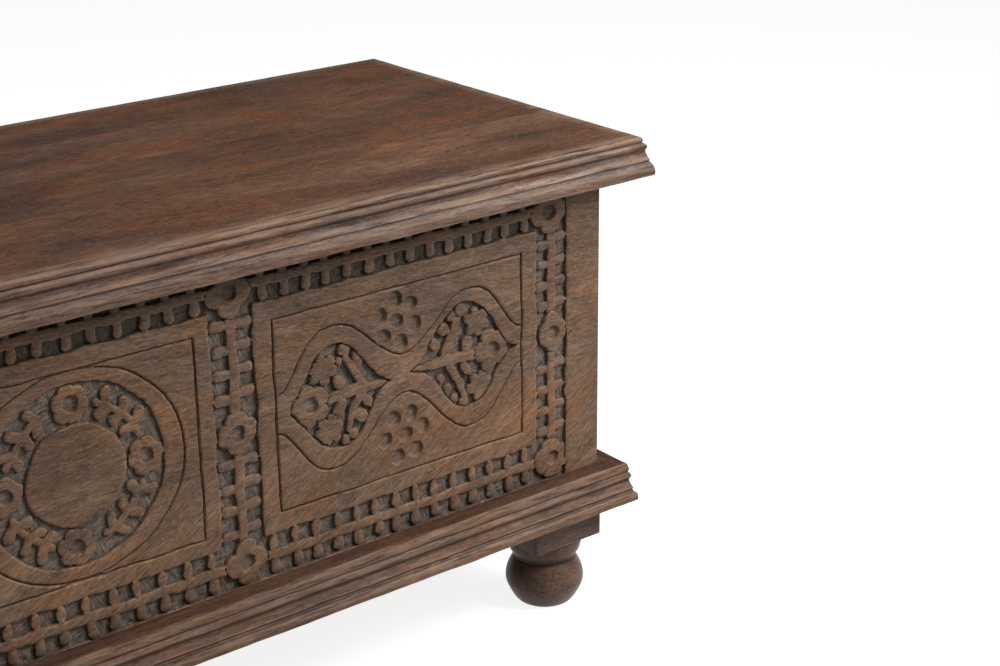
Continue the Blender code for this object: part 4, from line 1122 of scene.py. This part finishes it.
rng = np.random.default_rng(12)
for side in ("left", "right"):
    for leaf, spread, facing in (("body", (-21, 0, 21), (0, 1, 0)), ("lid", (-10.5, 10.5), (0, 0, -1))):
        low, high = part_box(f"hinge_{leaf}_leaf_{side}")
        for j, shift in enumerate(spread):
            place = Vector(((low.x + high.x) / 2 + shift * MM, low.y + 1.5 * MM, low.z + 8.5 * MM))
            if leaf == "lid":
                place = Vector((place.x, high.y - 8.0 * MM, high.z - 1.5 * MM))
            piece = screw_head(f"hinge_screw_{leaf}_{side}_{j + 1}", place, facing, rng.uniform(0, math.pi))
            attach(piece, "chest" if leaf == "body" else "lid")

# Floor and sky, white where they are seen
WHITE = (1.0, 1.0, 1.0, 1.0)
FLOOR_GREY = (0.42, 0.42, 0.42, 1.0)
FLOOR_GLOW = 0.86
FLOOR_HALF = 40.0
SKY_FILL = 0.13
floor_shade = Shade(bpy.data.materials.new("floor"))
rays = floor_shade.node("LightPath").outputs
seen = floor_shade.math("MAXIMUM", rays["Is Camera Ray"], rays["Is Glossy Ray"])
seen = floor_shade.math("MAXIMUM", seen, rays["Is Transmission Ray"])
floor_shade.give("Base Color", FLOOR_GREY)
floor_shade.give("Roughness", 0.9)
floor_shade.give("Specular IOR Level", 0.0)
floor_shade.give("Emission Color", WHITE)
floor_shade.give("Emission Strength", floor_shade.times(seen, FLOOR_GLOW))
floor_corners = [(sx * FLOOR_HALF, sy * FLOOR_HALF, 0.0) for sx, sy in ((-1, -1), (1, -1), (1, 1), (-1, 1))]
add_mesh("floor", floor_corners, [(0, 1, 2, 3)], floor_shade.owner)

scene.world = bpy.data.worlds.new("studio")
sky = Shade(scene.world, "Background")
rays = sky.node("LightPath").outputs
seen = sky.math("MAXIMUM", rays["Is Camera Ray"], rays["Is Transmission Ray"])
sky.give("Color", WHITE)
sky.give("Strength", sky.span(seen, 0.0, 1.0, SKY_FILL, 1.0))


def softbox(name, place, aim, size, watts):
    """A square lamp at place, turned towards aim."""
    lamp = bpy.data.lights.new(name, "AREA")
    lamp.shape = "SQUARE"
    lamp.size = size
    lamp.energy = watts
    made = bpy.data.objects.new(name, lamp)
    made.location = place
    made.rotation_euler = (Vector(aim) - Vector(place)).to_track_quat("-Z", "Y").to_euler()
    scene.collection.objects.link(made)


softbox("overhead", place=(0.5, -1.0, 2.6), aim=(0.0, 0.0, 0.3), size=2.2, watts=46.0)
softbox("key", place=(1.15, -0.95, 1.10), aim=(0.25, -0.1, 0.28), size=0.55, watts=20.0)

# Camera fitted to the photograph's lines
CAMERA_AT = (-0.57298, -1.40798, 0.89493)
YAW = math.radians(38.3637)
PITCH = math.radians(20.8361)
ROLL = math.radians(0.5908)
FOCAL_MM = 70.316
SENSOR_MM = 36.0
lens = bpy.data.cameras.new("camera")
lens.sensor_fit = "HORIZONTAL"
lens.sensor_width = SENSOR_MM
lens.lens = FOCAL_MM
camera = bpy.data.objects.new("camera", lens)
turn = Matrix.Rotation(-YAW, 4, "Z") @ Matrix.Rotation(math.pi / 2 - PITCH, 4, "X")
camera.matrix_world = Matrix.Translation(CAMERA_AT) @ turn @ Matrix.Rotation(-ROLL, 4, "Z")
scene.collection.objects.link(camera)
scene.camera = camera
scene.view_settings.view_transform = "Standard"
